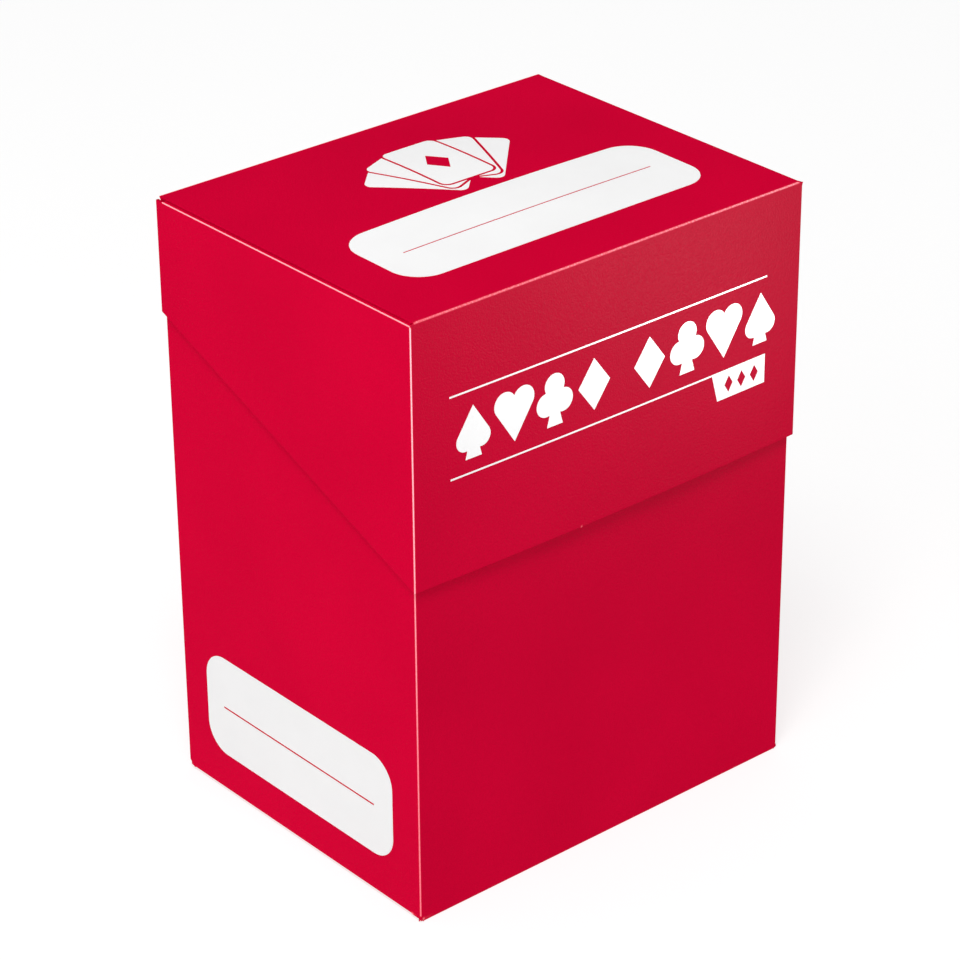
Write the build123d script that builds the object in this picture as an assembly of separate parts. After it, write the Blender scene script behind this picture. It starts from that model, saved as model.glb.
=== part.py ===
from build123d import *
import math
import os

# A card deck box folded from one creased plastic sheet, with a loose divider that stands in its well.
# Millimetres. X runs across the front, +Y points to the hinge at the back, and +Z is up. The origin is
# the middle of the footprint, on the surface that the box stands on.
#
# The sheet's strip runs front, bottom, back, lid top, lid front, with a crease between each two. The
# case's sides fold from its front, the lid's sides fold from the lid's front, and tabs and glue flaps
# close the corners. Each panel is one plate, mitred at 45 degrees and rounded where the sheet is folded.

# Driving dimensions of the sheet and of the closed box
SHEET = 0.5                     # thickness of the plastic sheet
FOLD_RADIUS = 0.3               # outer radius of a pressed crease
HEIGHT = 96.0                   # floor to the lid's top face
LID_WIDTH = 73.3                # across the lid's sides
DEPTH = 57.0                    # lid's front face to the back panel's outer face
SIDE_GAP = 0.05                 # between a lid side and the case side inside it
FRONT_GAP = 0.18                # between the lid's front and the case's front inside it

# Case
RIM_Z = 94.5                    # top edge of the case's front and sides
BOTTOM_INSET = 0.6              # bottom panel's edge, in from the outer face of the side
CORNER_RELIEF = 0.6             # diagonal cut at the foot of each front corner
SIDE_BACK_STEP = 0.4            # side's back edge, in from the back panel's outer face
SIDE_CHAMFER = 1.0              # cut-off corner at the side's back foot
NOTCH_WIDTH = 26.0              # thumb notch in the case's front, at the rim
NOTCH_DEPTH = 10.0
NOTCH_LIP_RADIUS = 1.5

# Tabs and flaps
BOTTOM_TAB_REACH = 18.0         # tab from a case side, lying on the bottom panel
BOTTOM_TAB_FRONT_START = 2.0    # from the case's front face to the tab's crease
BOTTOM_TAB_BACK_START = 1.6     # from the back panel's outer face to the tab's crease
GLUE_FLAP_REACH = 14.0          # flap from the back panel, glued inside a case side
GLUE_FLAP_FOOT_Z = 1.5
GLUE_FLAP_HEAD_Z = 94.0
LID_TAB_REACH = 15.0            # tab from a lid side, glued under the lid's top
LID_TAB_FRONT_START = 0.6
LID_TAB_BACK_START = 2.0
TAB_SLANT = 3.5                 # how far a tab's end slants in over its reach

# Lid
LID_FRONT_Z = 55.05             # lower edge of the lid's front
LID_BACK_Z = 78.0               # lower edge of a lid side at the back
LID_SIDE_BACK_STEP = 0.2        # lid side's back edge, in from the back panel's outer face
LID_SIDE_CUT_DROP = 0.3         # lid side's cut top edge behind its tab, below the crease
LID_TOP_INSET = 0.57            # lid top's edge, in from the outer face of the lid side
LID_TOP_TAPER = 1.0             # length over which the lid top narrows to the back panel

# Divider
DIVIDER_WIDTH = 66.0
DIVIDER_SHOULDER_Z = 91.0       # top edge beside the index tab
DIVIDER_TAB_Z = 94.2
DIVIDER_TAB_WIDTH = 22.0
DIVIDER_TAB_X = -18.0           # middle of the index tab
DIVIDER_CORNER_RADIUS = 3.0
DIVIDER_TAB_RADIUS = 1.5
DIVIDER_FLOOR_GAP = 0.1
DIVIDER_BACK_GAP = 0.5

# White print
INK = 0.03                      # thickness of the ink
FIELD_CORNER_RADIUS = 5.0
TOP_FIELD = (56.2, 17.4)
TOP_FIELD_CENTRE = (0.2, -10.2)
TOP_LINE = (46.4, 0.2)          # writing line left clear in the ink
TOP_LINE_CENTRE = (0.4, -10.3)
SIDE_FIELD = (44.65, 17.35)
SIDE_FIELD_CENTRE = (-0.375, 15.375)
SIDE_LINE = (36.0, 0.28)
SIDE_LINE_CENTRE = (-0.4, 15.1)
RULE = (60.3, 0.4)              # two lines across the lid's front
RULE_X = 0.05
RULE_ZS = (70.4, 82.9)
PIP_HEIGHT = 8.0                # row of card pips between the lines
PIP_ROW_Z = 76.75
PIP_PITCH = 7.35
PIP_ROW_START_X = -26.0
PIP_ROW_GAP = 3.2               # wider space in the middle of the row
BADGE_TOP = (19.5, 30.3)        # left and right ends of the badge's upper edge
BADGE_FOOT_X = 20.65
BADGE_ZS = (65.75, 70.6)
BADGE_PIP = (1.7, 2.7)          # small diamonds left clear in the badge
BADGE_PIP_XS = (22.9, 25.5, 28.1)
FAN_CENTRE = (0.75, 2.9)        # common foot of the fanned cards on the lid's top
FAN_CARD = (9.6, 15.0)
FAN_STEP = 22.0                 # degrees from one card to the next
FAN_GAP = 0.45                  # red line between two cards
FAN_CORNER_RADIUS = 1.2
FAN_PIP = (4.0, 5.8)

# Places that follow from them
FRONT_Y = -DEPTH / 2
BACK_Y = DEPTH / 2
LID_SIDE_X = LID_WIDTH / 2
CASE_SIDE_X = LID_SIDE_X - SHEET - SIDE_GAP
CASE_FRONT_Y = FRONT_Y + SHEET + FRONT_GAP
BOTTOM_X = CASE_SIDE_X - BOTTOM_INSET
BACK_X = CASE_SIDE_X - SHEET
LID_TOP_X = LID_SIDE_X - LID_TOP_INSET
LID_TAB_Z = HEIGHT - SHEET
CASE_TAB_Z = SHEET
SIDE_BACK_Y = BACK_Y - SIDE_BACK_STEP

# Outer faces of the panels. Each plane's normal points out of the box, and its second axis is up or,
# on the two level faces, along the depth. Seen from outside, every outline runs anticlockwise.
CASE_FRONT = Plane(origin=(0, CASE_FRONT_Y, 0), x_dir=(1, 0, 0), z_dir=(0, -1, 0))
CASE_BACK = Plane(origin=(0, BACK_Y, 0), x_dir=(-1, 0, 0), z_dir=(0, 1, 0))
CASE_LEFT = Plane(origin=(-CASE_SIDE_X, 0, 0), x_dir=(0, -1, 0), z_dir=(-1, 0, 0))
CASE_LEFT_FLAP = Plane(origin=(-BACK_X, 0, 0), x_dir=(0, -1, 0), z_dir=(-1, 0, 0))
CASE_BOTTOM = Plane(origin=(0, 0, 0), x_dir=(1, 0, 0), z_dir=(0, 0, -1))
CASE_TAB = Plane(origin=(0, 0, CASE_TAB_Z), x_dir=(1, 0, 0), z_dir=(0, 0, -1))
LID_TOP = Plane(origin=(0, 0, HEIGHT), x_dir=(1, 0, 0), z_dir=(0, 0, 1))
LID_TAB = Plane(origin=(0, 0, LID_TAB_Z), x_dir=(1, 0, 0), z_dir=(0, 0, 1))
LID_FRONT = Plane(origin=(0, FRONT_Y, 0), x_dir=(1, 0, 0), z_dir=(0, -1, 0))
LID_LEFT = Plane(origin=(-LID_SIDE_X, 0, 0), x_dir=(0, -1, 0), z_dir=(-1, 0, 0))


def fold_cutter(plane, start, end, radius):
    """What a fold takes off a plate's edge from start to end: a 45 degree mitre and a rounded crease."""
    run = Vector(end[0] - start[0], end[1] - start[1])
    along = plane.x_dir * run.X + plane.y_dir * run.Y
    inward = plane.z_dir.cross(along).normalized()
    section = Plane(origin=plane.from_local_coords(start), x_dir=inward, z_dir=along)
    bend = radius * (1 - math.sqrt(0.5))
    points = [(bend, -bend), (SHEET, -SHEET), (0, -SHEET), (0, 0)]
    if radius > 0:
        crease = RadiusArc((radius, 0), (bend, -bend), radius, short_sagitta=True)
        outline = crease + Polyline(*points) + Line((0, 0), (radius, 0))
    else:
        outline = Polyline(*points[1:], close=True)
    return extrude(section * make_face(outline), run.length)


def panel(plane, outline, folds, hinges=()):
    """One plate of the sheet, from its outline on the outer face, mitred along each fold and hinge."""
    face = outline if isinstance(outline, Sketch) else make_face(Polyline(*outline, close=True))
    plate = extrude(plane * face, -SHEET)
    for start, end in folds:
        plate -= fold_cutter(plane, start, end, FOLD_RADIUS)
    for start, end in hinges:
        plate -= fold_cutter(plane, start, end, 0)
    return plate


def right_hand(left):
    """The right-hand twin of a left-hand piece."""
    return mirror(left, about=Plane.YZ)


# Case panels
def case_front_panel():
    """The front, with its bottom fold, both corner folds and the thumb notch in its rim."""
    foot = [(-BOTTOM_X, 0), (BOTTOM_X, 0)]
    right = [(CASE_SIDE_X, CORNER_RELIEF), (CASE_SIDE_X, RIM_Z)]
    left = [(-CASE_SIDE_X, RIM_Z), (-CASE_SIDE_X, CORNER_RELIEF)]
    radius = (NOTCH_DEPTH**2 + (NOTCH_WIDTH / 2) ** 2) / (2 * NOTCH_DEPTH)
    face = make_face(Polyline(*foot, *right, *left, close=True))
    face -= Pos(0, RIM_Z - NOTCH_DEPTH + radius) * Circle(radius)
    lips = [corner for corner in face.vertices() if abs(abs(corner.X) - NOTCH_WIDTH / 2) < SHEET]
    return panel(CASE_FRONT, fillet(lips, NOTCH_LIP_RADIUS), [foot, right, left])


def case_back_panel():
    """The back, folded at the bottom and to both glue flaps, and hinged to the lid at its top edge."""
    foot = [(-BOTTOM_X, 0), (BOTTOM_X, 0)]
    right = [(BACK_X, GLUE_FLAP_FOOT_Z), (BACK_X, GLUE_FLAP_HEAD_Z)]
    left = [(-BACK_X, GLUE_FLAP_HEAD_Z), (-BACK_X, GLUE_FLAP_FOOT_Z)]
    head = [(BACK_X, HEIGHT), (-BACK_X, HEIGHT)]
    outline = [*foot, (BACK_X, CORNER_RELIEF), *head, (-BACK_X, CORNER_RELIEF)]
    return panel(CASE_BACK, outline, [foot, right, left], [head])


def case_bottom_panel():
    """The bottom, folded from the front and to the back."""
    back = [(-BOTTOM_X, -BACK_Y), (BOTTOM_X, -BACK_Y)]
    front = [(BOTTOM_X, -CASE_FRONT_Y), (-BOTTOM_X, -CASE_FRONT_Y)]
    return panel(CASE_BOTTOM, [*back, *front], [back, front])


def case_side_panel():
    """The left side, folded from the front, with its bottom tab's crease just above the floor."""
    front = [(-CASE_FRONT_Y, CORNER_RELIEF), (-CASE_FRONT_Y, RIM_Z)]
    tab = [(BOTTOM_TAB_BACK_START - BACK_Y, CASE_TAB_Z), (-CASE_FRONT_Y - BOTTOM_TAB_FRONT_START, CASE_TAB_Z)]
    outline = [
        (-SIDE_BACK_Y, CASE_TAB_Z + SIDE_CHAMFER),
        (-SIDE_BACK_Y + SIDE_CHAMFER, CASE_TAB_Z),
        (-CASE_FRONT_Y - CORNER_RELIEF, CASE_TAB_Z),
        *front,
        (-SIDE_BACK_Y, RIM_Z),
    ]
    return panel(CASE_LEFT, outline, [front, tab])


def case_bottom_tab():
    """The left side's tab, which lies on the bottom panel."""
    front_y = -CASE_FRONT_Y - BOTTOM_TAB_FRONT_START
    back_y = BOTTOM_TAB_BACK_START - BACK_Y
    crease = [(-CASE_SIDE_X, front_y), (-CASE_SIDE_X, back_y)]
    inner_x = -CASE_SIDE_X + BOTTOM_TAB_REACH
    return panel(CASE_TAB, [*crease, (inner_x, back_y + TAB_SLANT), (inner_x, front_y - TAB_SLANT)], [crease])


def case_glue_flap():
    """The back panel's left flap, glued to the inner face of the left side."""
    crease = [(-BACK_Y, GLUE_FLAP_HEAD_Z), (-BACK_Y, GLUE_FLAP_FOOT_Z)]
    inner_y = -BACK_Y + GLUE_FLAP_REACH
    ends = [(inner_y, GLUE_FLAP_FOOT_Z + TAB_SLANT), (inner_y, GLUE_FLAP_HEAD_Z - TAB_SLANT)]
    return panel(CASE_LEFT_FLAP, [*crease, *ends], [crease])


# Lid panels
def lid_top_panel():
    """The lid's top, folded to the lid's front and hinged on the back panel."""
    front = [(-LID_TOP_X, FRONT_Y), (LID_TOP_X, FRONT_Y)]
    hinge = [(BACK_X, BACK_Y), (-BACK_X, BACK_Y)]
    taper_y = BACK_Y - LID_TOP_TAPER
    return panel(LID_TOP, [*front, (LID_TOP_X, taper_y), *hinge, (-LID_TOP_X, taper_y)], [front], [hinge])


def lid_front_panel():
    """The lid's front, folded from the lid's top and to both lid sides."""
    right = [(LID_SIDE_X, LID_FRONT_Z), (LID_SIDE_X, LID_TAB_Z)]
    head = [(LID_TOP_X, HEIGHT), (-LID_TOP_X, HEIGHT)]
    left = [(-LID_SIDE_X, LID_TAB_Z), (-LID_SIDE_X, LID_FRONT_Z)]
    return panel(LID_FRONT, [*right, *head, *left], [right, head, left])


def lid_side_panel():
    """The lid's left side, with its slanting lower edge and the crease of its tab."""
    front = [(-FRONT_Y, LID_FRONT_Z), (-FRONT_Y, LID_TAB_Z)]
    tab = [(-FRONT_Y - LID_TAB_FRONT_START, LID_TAB_Z), (LID_TAB_BACK_START - BACK_Y, LID_TAB_Z)]
    back_y = LID_SIDE_BACK_STEP - BACK_Y
    cut_z = LID_TAB_Z - LID_SIDE_CUT_DROP
    outline = [(back_y, LID_BACK_Z), *front, tab[1], (tab[1][0], cut_z), (back_y, cut_z)]
    return panel(LID_LEFT, outline, [front, tab])


def lid_top_tab():
    """The lid's left tab, glued to the underside of the lid's top."""
    front_y = FRONT_Y + LID_TAB_FRONT_START
    back_y = BACK_Y - LID_TAB_BACK_START
    crease = [(-LID_SIDE_X, back_y), (-LID_SIDE_X, front_y)]
    inner_x = -LID_SIDE_X + LID_TAB_REACH
    return panel(LID_TAB, [*crease, (inner_x, front_y + TAB_SLANT), (inner_x, back_y - TAB_SLANT)], [crease])


# Divider
def card_divider():
    """A flat plate that stands across the well, with an index tab on its top edge."""
    half_width = DIVIDER_WIDTH / 2
    foot_z = CASE_TAB_Z + SHEET + DIVIDER_FLOOR_GAP
    tab_left = DIVIDER_TAB_X - DIVIDER_TAB_WIDTH / 2
    tab_right = DIVIDER_TAB_X + DIVIDER_TAB_WIDTH / 2
    corners = [(-half_width, foot_z), (half_width, foot_z)]
    corners += [(half_width, DIVIDER_SHOULDER_Z), (-half_width, DIVIDER_SHOULDER_Z)]
    plate = make_face(Polyline(*corners, close=True))
    plate = fillet(plate.vertices(), DIVIDER_CORNER_RADIUS)
    tab = make_face(Polyline(
        (tab_left, DIVIDER_SHOULDER_Z - SHEET),
        (tab_right, DIVIDER_SHOULDER_Z - SHEET),
        (tab_right, DIVIDER_TAB_Z),
        (tab_left, DIVIDER_TAB_Z),
        close=True,
    ))
    tab = fillet(tab.vertices().sort_by(Axis.Y)[-2:], DIVIDER_TAB_RADIUS)
    back_y = BACK_Y - SHEET - DIVIDER_BACK_GAP
    face = Plane(origin=(0, back_y - SHEET, 0), x_dir=(1, 0, 0), z_dir=(0, -1, 0))
    return extrude(face * (plate + tab), -SHEET)


# White print
def printed(plane, artwork):
    """Artwork laid on a panel's outer face as a film of ink."""
    return extrude(plane * artwork, INK)


def writing_field(plane, field, centre, line, line_centre):
    """A rounded white field with one writing line left clear in it."""
    artwork = Pos(*centre) * RectangleRounded(*field, FIELD_CORNER_RADIUS)
    return printed(plane, artwork - Pos(*line_centre) * Rectangle(*line))


def diamond(width, height):
    """A diamond pip, centred."""
    return make_face(Polyline((width / 2, 0), (0, height / 2), (-width / 2, 0), (0, -height / 2), close=True))


def teardrop(lobe_x, lobe_z, radius, tip_z):
    """The convex hull of one round lobe and a tip on the middle line."""
    reach = math.hypot(lobe_x, lobe_z - tip_z)
    towards_tip = math.atan2(tip_z - lobe_z, -lobe_x)
    spread = math.acos(radius / reach)
    tangents = [
        (lobe_x + radius * math.cos(turn), lobe_z + radius * math.sin(turn))
        for turn in (towards_tip - spread, towards_tip + spread)
    ]
    return Pos(lobe_x, lobe_z) * Circle(radius) + make_face(Polyline((0, tip_z), *tangents, close=True))


def heart(height):
    """A heart pip, point down, centred on its height."""
    radius = height * 0.24
    lobe_x = height * 0.21
    lobe_z = height / 2 - radius
    return teardrop(lobe_x, lobe_z, radius, -height / 2) + teardrop(-lobe_x, lobe_z, radius, -height / 2)


def stem(height):
    """The flared foot under a spade or a club."""
    head = height * 0.045
    foot = height * 0.18
    return make_face(Polyline((-foot, -height / 2), (foot, -height / 2), (head, 0), (-head, 0), close=True))


def spade(height):
    """A spade pip: a heart turned point up, on a stem."""
    leaf = height * 0.84
    return Pos(0, (height - leaf) / 2) * Rot(0, 0, 180) * heart(leaf) + stem(height)


def club(height):
    """A club pip: three round leaves on a stem."""
    radius = height * 0.225
    spread = height * 0.22
    middle_z = height / 2 - radius - spread
    leaves = stem(height)
    for turn in (90, 210, 330):
        leaf_x = spread * math.cos(math.radians(turn))
        leaf_z = middle_z + spread * math.sin(math.radians(turn))
        leaves += Pos(leaf_x, leaf_z) * Circle(radius)
    return leaves


def pip_row():
    """Eight card pips between the two lines, four and four with a wider space in the middle."""
    pips = [spade, heart, club, None, None, club, heart, spade]
    artwork = Sketch()
    for place, pip in enumerate(pips):
        x = PIP_ROW_START_X + place * PIP_PITCH + (PIP_ROW_GAP if place > 3 else 0)
        shape = pip(PIP_HEIGHT) if pip else diamond(PIP_HEIGHT * 0.74, PIP_HEIGHT)
        artwork += Pos(x, PIP_ROW_Z) * shape
    return printed(LID_FRONT, artwork)


def front_rules():
    """The two fine lines above and below the row of pips."""
    artwork = Sketch()
    for z in RULE_ZS:
        artwork += Pos(RULE_X, z) * Rectangle(*RULE)
    return printed(LID_FRONT, artwork)


def front_badge():
    """The badge under the lower line, with three small diamonds left clear in it."""
    top_z = RULE_ZS[0] - RULE[1] / 2
    artwork = make_face(Polyline(
        (BADGE_FOOT_X, BADGE_ZS[0]), (BADGE_TOP[1], BADGE_ZS[0]), (BADGE_TOP[1], top_z), (BADGE_TOP[0], top_z),
        close=True,
    ))
    for x in BADGE_PIP_XS:
        artwork -= Pos(x, (BADGE_ZS[0] + top_z) / 2) * diamond(*BADGE_PIP)
    return printed(LID_FRONT, artwork)


def fan_card(turn, margin=0.0):
    """One card of the fan, turned about the middle of its foot and grown by a margin all round."""
    width, height = FAN_CARD
    card = RectangleRounded(width + 2 * margin, height + 2 * margin, FAN_CORNER_RADIUS + margin)
    return Rot(0, 0, turn) * Pos(0, height / 2) * card


def top_emblem():
    """A fan of five cards, the middle one in front with a diamond left clear in it."""
    artwork = fan_card(0) - Pos(0, FAN_CARD[1] / 2) * diamond(*FAN_PIP)
    for side in (-1, 1):
        for place in (1, 2):
            turn = side * place * FAN_STEP
            artwork += fan_card(turn) - fan_card(turn - side * FAN_STEP, FAN_GAP) - fan_card(0, FAN_GAP)
    return printed(LID_TOP, Pos(*FAN_CENTRE) * artwork)


PARTS = {
    "case_front_panel": case_front_panel(),
    "case_back_panel": case_back_panel(),
    "case_bottom_panel": case_bottom_panel(),
    "case_left_side_panel": case_side_panel(),
    "case_right_side_panel": right_hand(case_side_panel()),
    "case_left_bottom_tab": case_bottom_tab(),
    "case_right_bottom_tab": right_hand(case_bottom_tab()),
    "case_left_glue_flap": case_glue_flap(),
    "case_right_glue_flap": right_hand(case_glue_flap()),
    "lid_top_panel": lid_top_panel(),
    "lid_front_panel": lid_front_panel(),
    "lid_left_side_panel": lid_side_panel(),
    "lid_right_side_panel": right_hand(lid_side_panel()),
    "lid_left_top_tab": lid_top_tab(),
    "lid_right_top_tab": right_hand(lid_top_tab()),
    "card_divider": card_divider(),
    "top_writing_field": writing_field(LID_TOP, TOP_FIELD, TOP_FIELD_CENTRE, TOP_LINE, TOP_LINE_CENTRE),
    "side_writing_field": writing_field(CASE_LEFT, SIDE_FIELD, SIDE_FIELD_CENTRE, SIDE_LINE, SIDE_LINE_CENTRE),
    "front_rules": front_rules(),
    "front_pip_row": pip_row(),
    "front_badge": front_badge(),
    "top_emblem": top_emblem(),
}

os.makedirs("parts", exist_ok=True)
for node, solid in PARTS.items():
    export_step(solid, f"parts/{node}.step")
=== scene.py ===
"""The looks of a card deck box, folded from one creased plastic sheet, with a loose divider.

Lengths are in millimetres in this file, and write_mesh() turns them into metres. X runs across the
front, +Y points to the hinge at the back and +Z is up. Every panel of the sheet is one closed shell
with pressed creases and cut edges, and every print is a thin film that follows its panel.
"""

import logging
import math
from dataclasses import dataclass, field, replace
from enum import Enum
from typing import Callable, Optional, Sequence

import bmesh
import bpy
import numpy as np
from mathutils import Matrix, Vector


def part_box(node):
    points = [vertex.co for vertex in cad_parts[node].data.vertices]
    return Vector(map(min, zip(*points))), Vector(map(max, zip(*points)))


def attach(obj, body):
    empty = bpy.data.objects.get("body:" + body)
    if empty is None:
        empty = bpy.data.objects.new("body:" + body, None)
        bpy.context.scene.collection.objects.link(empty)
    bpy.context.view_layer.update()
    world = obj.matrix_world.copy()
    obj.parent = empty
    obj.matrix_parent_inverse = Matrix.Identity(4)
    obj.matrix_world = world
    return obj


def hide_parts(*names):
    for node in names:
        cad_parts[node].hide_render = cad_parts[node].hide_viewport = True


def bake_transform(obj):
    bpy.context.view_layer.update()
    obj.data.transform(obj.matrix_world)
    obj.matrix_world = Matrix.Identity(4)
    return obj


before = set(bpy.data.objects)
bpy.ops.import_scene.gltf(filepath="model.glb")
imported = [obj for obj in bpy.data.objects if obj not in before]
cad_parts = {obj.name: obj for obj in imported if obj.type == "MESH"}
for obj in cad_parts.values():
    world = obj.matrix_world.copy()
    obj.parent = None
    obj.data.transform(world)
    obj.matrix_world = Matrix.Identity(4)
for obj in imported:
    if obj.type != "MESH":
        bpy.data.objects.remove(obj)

LOG = logging.getLogger("deck_box")
METRES = 0.001                      # metres in a millimetre
MARKS = "sheet_marks"               # point attribute: stress whitening, its speckle, painted shade on cut edges

SHEET = 0.5                         # thickness of the plastic sheet
FOLD_RADIUS = 0.3                   # outer radius of a pressed crease
CUT_RADIUS = 0.06                   # softened arris of a die-cut edge
INK = 0.03                          # thickness of a film of print
ARC_ROWS = 7                        # grid rows over a rounded edge
EDGE_BAND = (0.45, 0.57, 0.6, 0.8)  # further rows behind it, out to where the plain middle starts
BUTT_BAND = 0.3                     # width of the even rows along a butt edge
NO_CREASE = 9.0                     # an edge without a fold counts as this far from a crease
LONG = 200.0                        # more than any edge of the box
LINE_CLEAR = 0.01                   # extra grid lines keep this far from an edge band
LINE_GAP = 0.05                     # an even grid line nearer than this to an extra one is left out
HALVINGS = 44                       # steps in the search for an outline
LEAST_TURN = 0.004                  # an even direction nearer than this to a corner's is left out
INK_SINK = 0.004                    # how far a film of print reaches into its panel
WELD = 0.002                        # points of a film nearer than this are one
SLIVER = 0.0005                     # edges of a film shorter than this are dissolved

Array = np.ndarray
Colour = tuple[float, float, float]
Limit = Callable[[Array], Array]
Bow = Callable[[Array], Array]
Spot = tuple[float, float, float, float]
Socket = bpy.types.NodeSocket
Piece = bpy.types.Object


class EdgeKind(Enum):
    """How a panel ends along one edge."""

    FOLD = "fold"
    CUT = "cut"
    BUTT = "butt"


class Hand(Enum):
    """The side of the box, as the sign of its X."""

    LEFT = -1
    RIGHT = 1

    @property
    def word(self) -> str:
        """The hand's name for a piece."""
        return self.name.lower()


@dataclass(frozen=True)
class Box:
    """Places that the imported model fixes, in millimetres."""

    lid_side_x: float
    lid_front_y: float
    lid_front_z: float
    top_z: float
    top_x: float
    back_x: float
    back_y: float
    case_side_x: float
    case_front_y: float
    rim_z: float
    bottom_x: float
    divider_y: float
    divider_x: float
    divider_z: tuple[float, float]

    @classmethod
    def from_frame(cls) -> "Box":
        """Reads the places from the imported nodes.

        Returns:
            The places.
        """
        corners = {name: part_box(name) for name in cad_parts}
        low = {name: pair[0] / METRES for name, pair in corners.items()}
        high = {name: pair[1] / METRES for name, pair in corners.items()}
        return cls(
            lid_side_x=high["lid_front_panel"].x,
            lid_front_y=low["lid_front_panel"].y,
            lid_front_z=low["lid_front_panel"].z,
            top_z=high["lid_top_panel"].z,
            top_x=high["lid_top_panel"].x,
            back_x=high["case_back_panel"].x,
            back_y=high["case_back_panel"].y,
            case_side_x=-low["case_left_side_panel"].x,
            case_front_y=low["case_front_panel"].y,
            rim_z=high["case_left_side_panel"].z,
            bottom_x=high["case_bottom_panel"].x,
            divider_y=low["card_divider"].y,
            divider_x=high["card_divider"].x,
            divider_z=(low["card_divider"].z, high["card_divider"].z),
        )


# ---------------------------------------------------------------- surfaces


@dataclass(frozen=True)
class Face:
    """The plane of a panel's outer face.

    across and along are the axes of its two parameters, out is the axis of its outward normal, sign
    is that normal's direction and place is the face's coordinate on it.
    """

    across: int
    along: int
    out: int
    sign: int
    place: float

    def points(self, u: Array, v: Array, lift: Array, bow: Bow) -> Array:
        """Points of the surface at parameters u and v, lifted off the flat face.

        The point is (u, v) on the face's two axes, and place + sign * (lift + bow) on the third, where
        bow is how far the panel bulges there.

        Args:
            u: Coordinates across.
            v: Coordinates along.
            lift: Height over the face, outward, before the bulge.
            bow: The panel's bulge at each flat point.

        Returns:
            An array of the parameters' shape, with a last axis of x, y, z.
        """
        flat = np.zeros(np.broadcast(u, v).shape + (3,))
        flat[..., self.across] = u
        flat[..., self.along] = v
        flat[..., self.out] = self.place
        flat[..., self.out] += self.sign * (lift + bow(flat))
        return flat

    @property
    def handed(self) -> bool:
        """Whether across, along and the outward normal are right-handed."""
        return np.cross(np.eye(3)[self.across], np.eye(3)[self.along])[self.out] * self.sign > 0


def flat(points: Array) -> Array:
    """No bulge anywhere."""
    return np.zeros(points.shape[:-1])


def level(value: float) -> Limit:
    """A limit that stays at one value."""
    return lambda u: np.full(np.shape(u), value)


def near(place: float, reach: float = 0.4) -> list[float]:
    """Grid lines packed round one place, so that a small mark there has points to sit on."""
    return list(place + reach * np.array([-1, -0.5, -0.25, 0, 0.25, 0.5, 1]))


def write_mesh(name: str, vertices: Array, faces: Array, marks: Optional[Array] = None) -> Piece:
    """Puts a numpy surface into a new object at the origin.

    Args:
        name: The piece's name.
        vertices: Points in millimetres, one a row.
        faces: Four vertex indexes a row.
        marks: Stress whitening, speckle and painted shade on cut edges of each point, from 0 to 1.

    Returns:
        The new object, linked to the scene.
    """
    mesh = bpy.data.meshes.new(name)
    mesh.vertices.add(len(vertices))
    mesh.vertices.foreach_set("co", (vertices * METRES).astype(np.float32).ravel())
    mesh.loops.add(faces.size)
    mesh.loops.foreach_set("vertex_index", faces.astype(np.int32).ravel())
    mesh.polygons.add(len(faces))
    mesh.polygons.foreach_set("loop_start", np.arange(0, faces.size, 4, dtype=np.int32))
    mesh.update(calc_edges=True)
    mesh.validate()
    if marks is not None:
        colours = np.ones((len(vertices), 4), np.float32)
        colours[:, :3] = marks
        layer = mesh.attributes.new(MARKS, "FLOAT_COLOR", "POINT")
        layer.data.foreach_set("color", colours.ravel())
    made = bpy.data.objects.new(name, mesh)
    bpy.context.scene.collection.objects.link(made)
    return made


def smooth(made: Piece, degrees: float = 32.0) -> None:
    """Shades a piece smooth, with its edges over the given turn kept sharp."""
    made.data.shade_smooth()
    made.data.set_sharp_from_angle(angle=math.radians(degrees))


def grid_faces(rows: int, columns: int, start: int = 0) -> Array:
    """The quads of a grid whose points are stored row by row, from index start.

    Args:
        rows: Points along the first axis.
        columns: Points along the second.
        start: The first point's index.

    Returns:
        The quads, four indexes a row.
    """
    index = np.arange(rows * columns).reshape(rows, columns) + start
    quads = [index[:-1, :-1], index[1:, :-1], index[1:, 1:], index[:-1, 1:]]
    return np.stack(quads, axis=-1).reshape(-1, 4)


def shell(outer: Array, inner: Array, handed: bool) -> tuple[Array, Array]:
    """A closed shell from two grids of the same shape, joined along their borders.

    Args:
        outer: The outer surface's points, rows by columns.
        inner: The inner surface's points.
        handed: Whether rows, columns and the outward normal are right-handed.

    Returns:
        The vertices and the quads.
    """
    rows, columns = outer.shape[:2]
    count = rows * columns
    index = np.arange(count).reshape(rows, columns)
    border = np.concatenate([index[:-1, 0], index[-1, :-1], index[:0:-1, -1], index[0, :0:-1]])
    after = np.roll(border, -1)
    rim = np.stack([border, border + count, after + count, after], axis=-1)
    faces = np.concatenate([grid_faces(rows, columns), grid_faces(rows, columns, count)[:, ::-1], rim])
    vertices = np.concatenate([outer.reshape(-1, 3), inner.reshape(-1, 3)])
    return vertices, faces if handed else faces[:, ::-1]


# ---------------------------------------------------------------- panels


@dataclass(frozen=True)
class Crease:
    """The pale line that pressing leaves on a fold.

    Its strength runs evenly from start, at the edge's low end, to end. It fades to nothing past the
    half width. speckle, from 0 to 1, strews it with paler dots. span is the stretch that shows it.
    """

    start: float = 0.8
    end: float = 0.8
    half_width: float = 0.13
    speckle: float = 0.0
    span: tuple[float, float] = (-LONG, LONG)

    def strength(self, place: Array) -> Array:
        """How strong the line is at a place along it.

        Args:
            place: Places along the line.

        Returns:
            The strength, from 0 to 1.
        """
        share = np.clip((place - self.span[0]) / (self.span[1] - self.span[0]), 0, 1)
        shown = (place >= self.span[0]) & (place <= self.span[1])
        return shown * (self.start + (self.end - self.start) * share)


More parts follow.
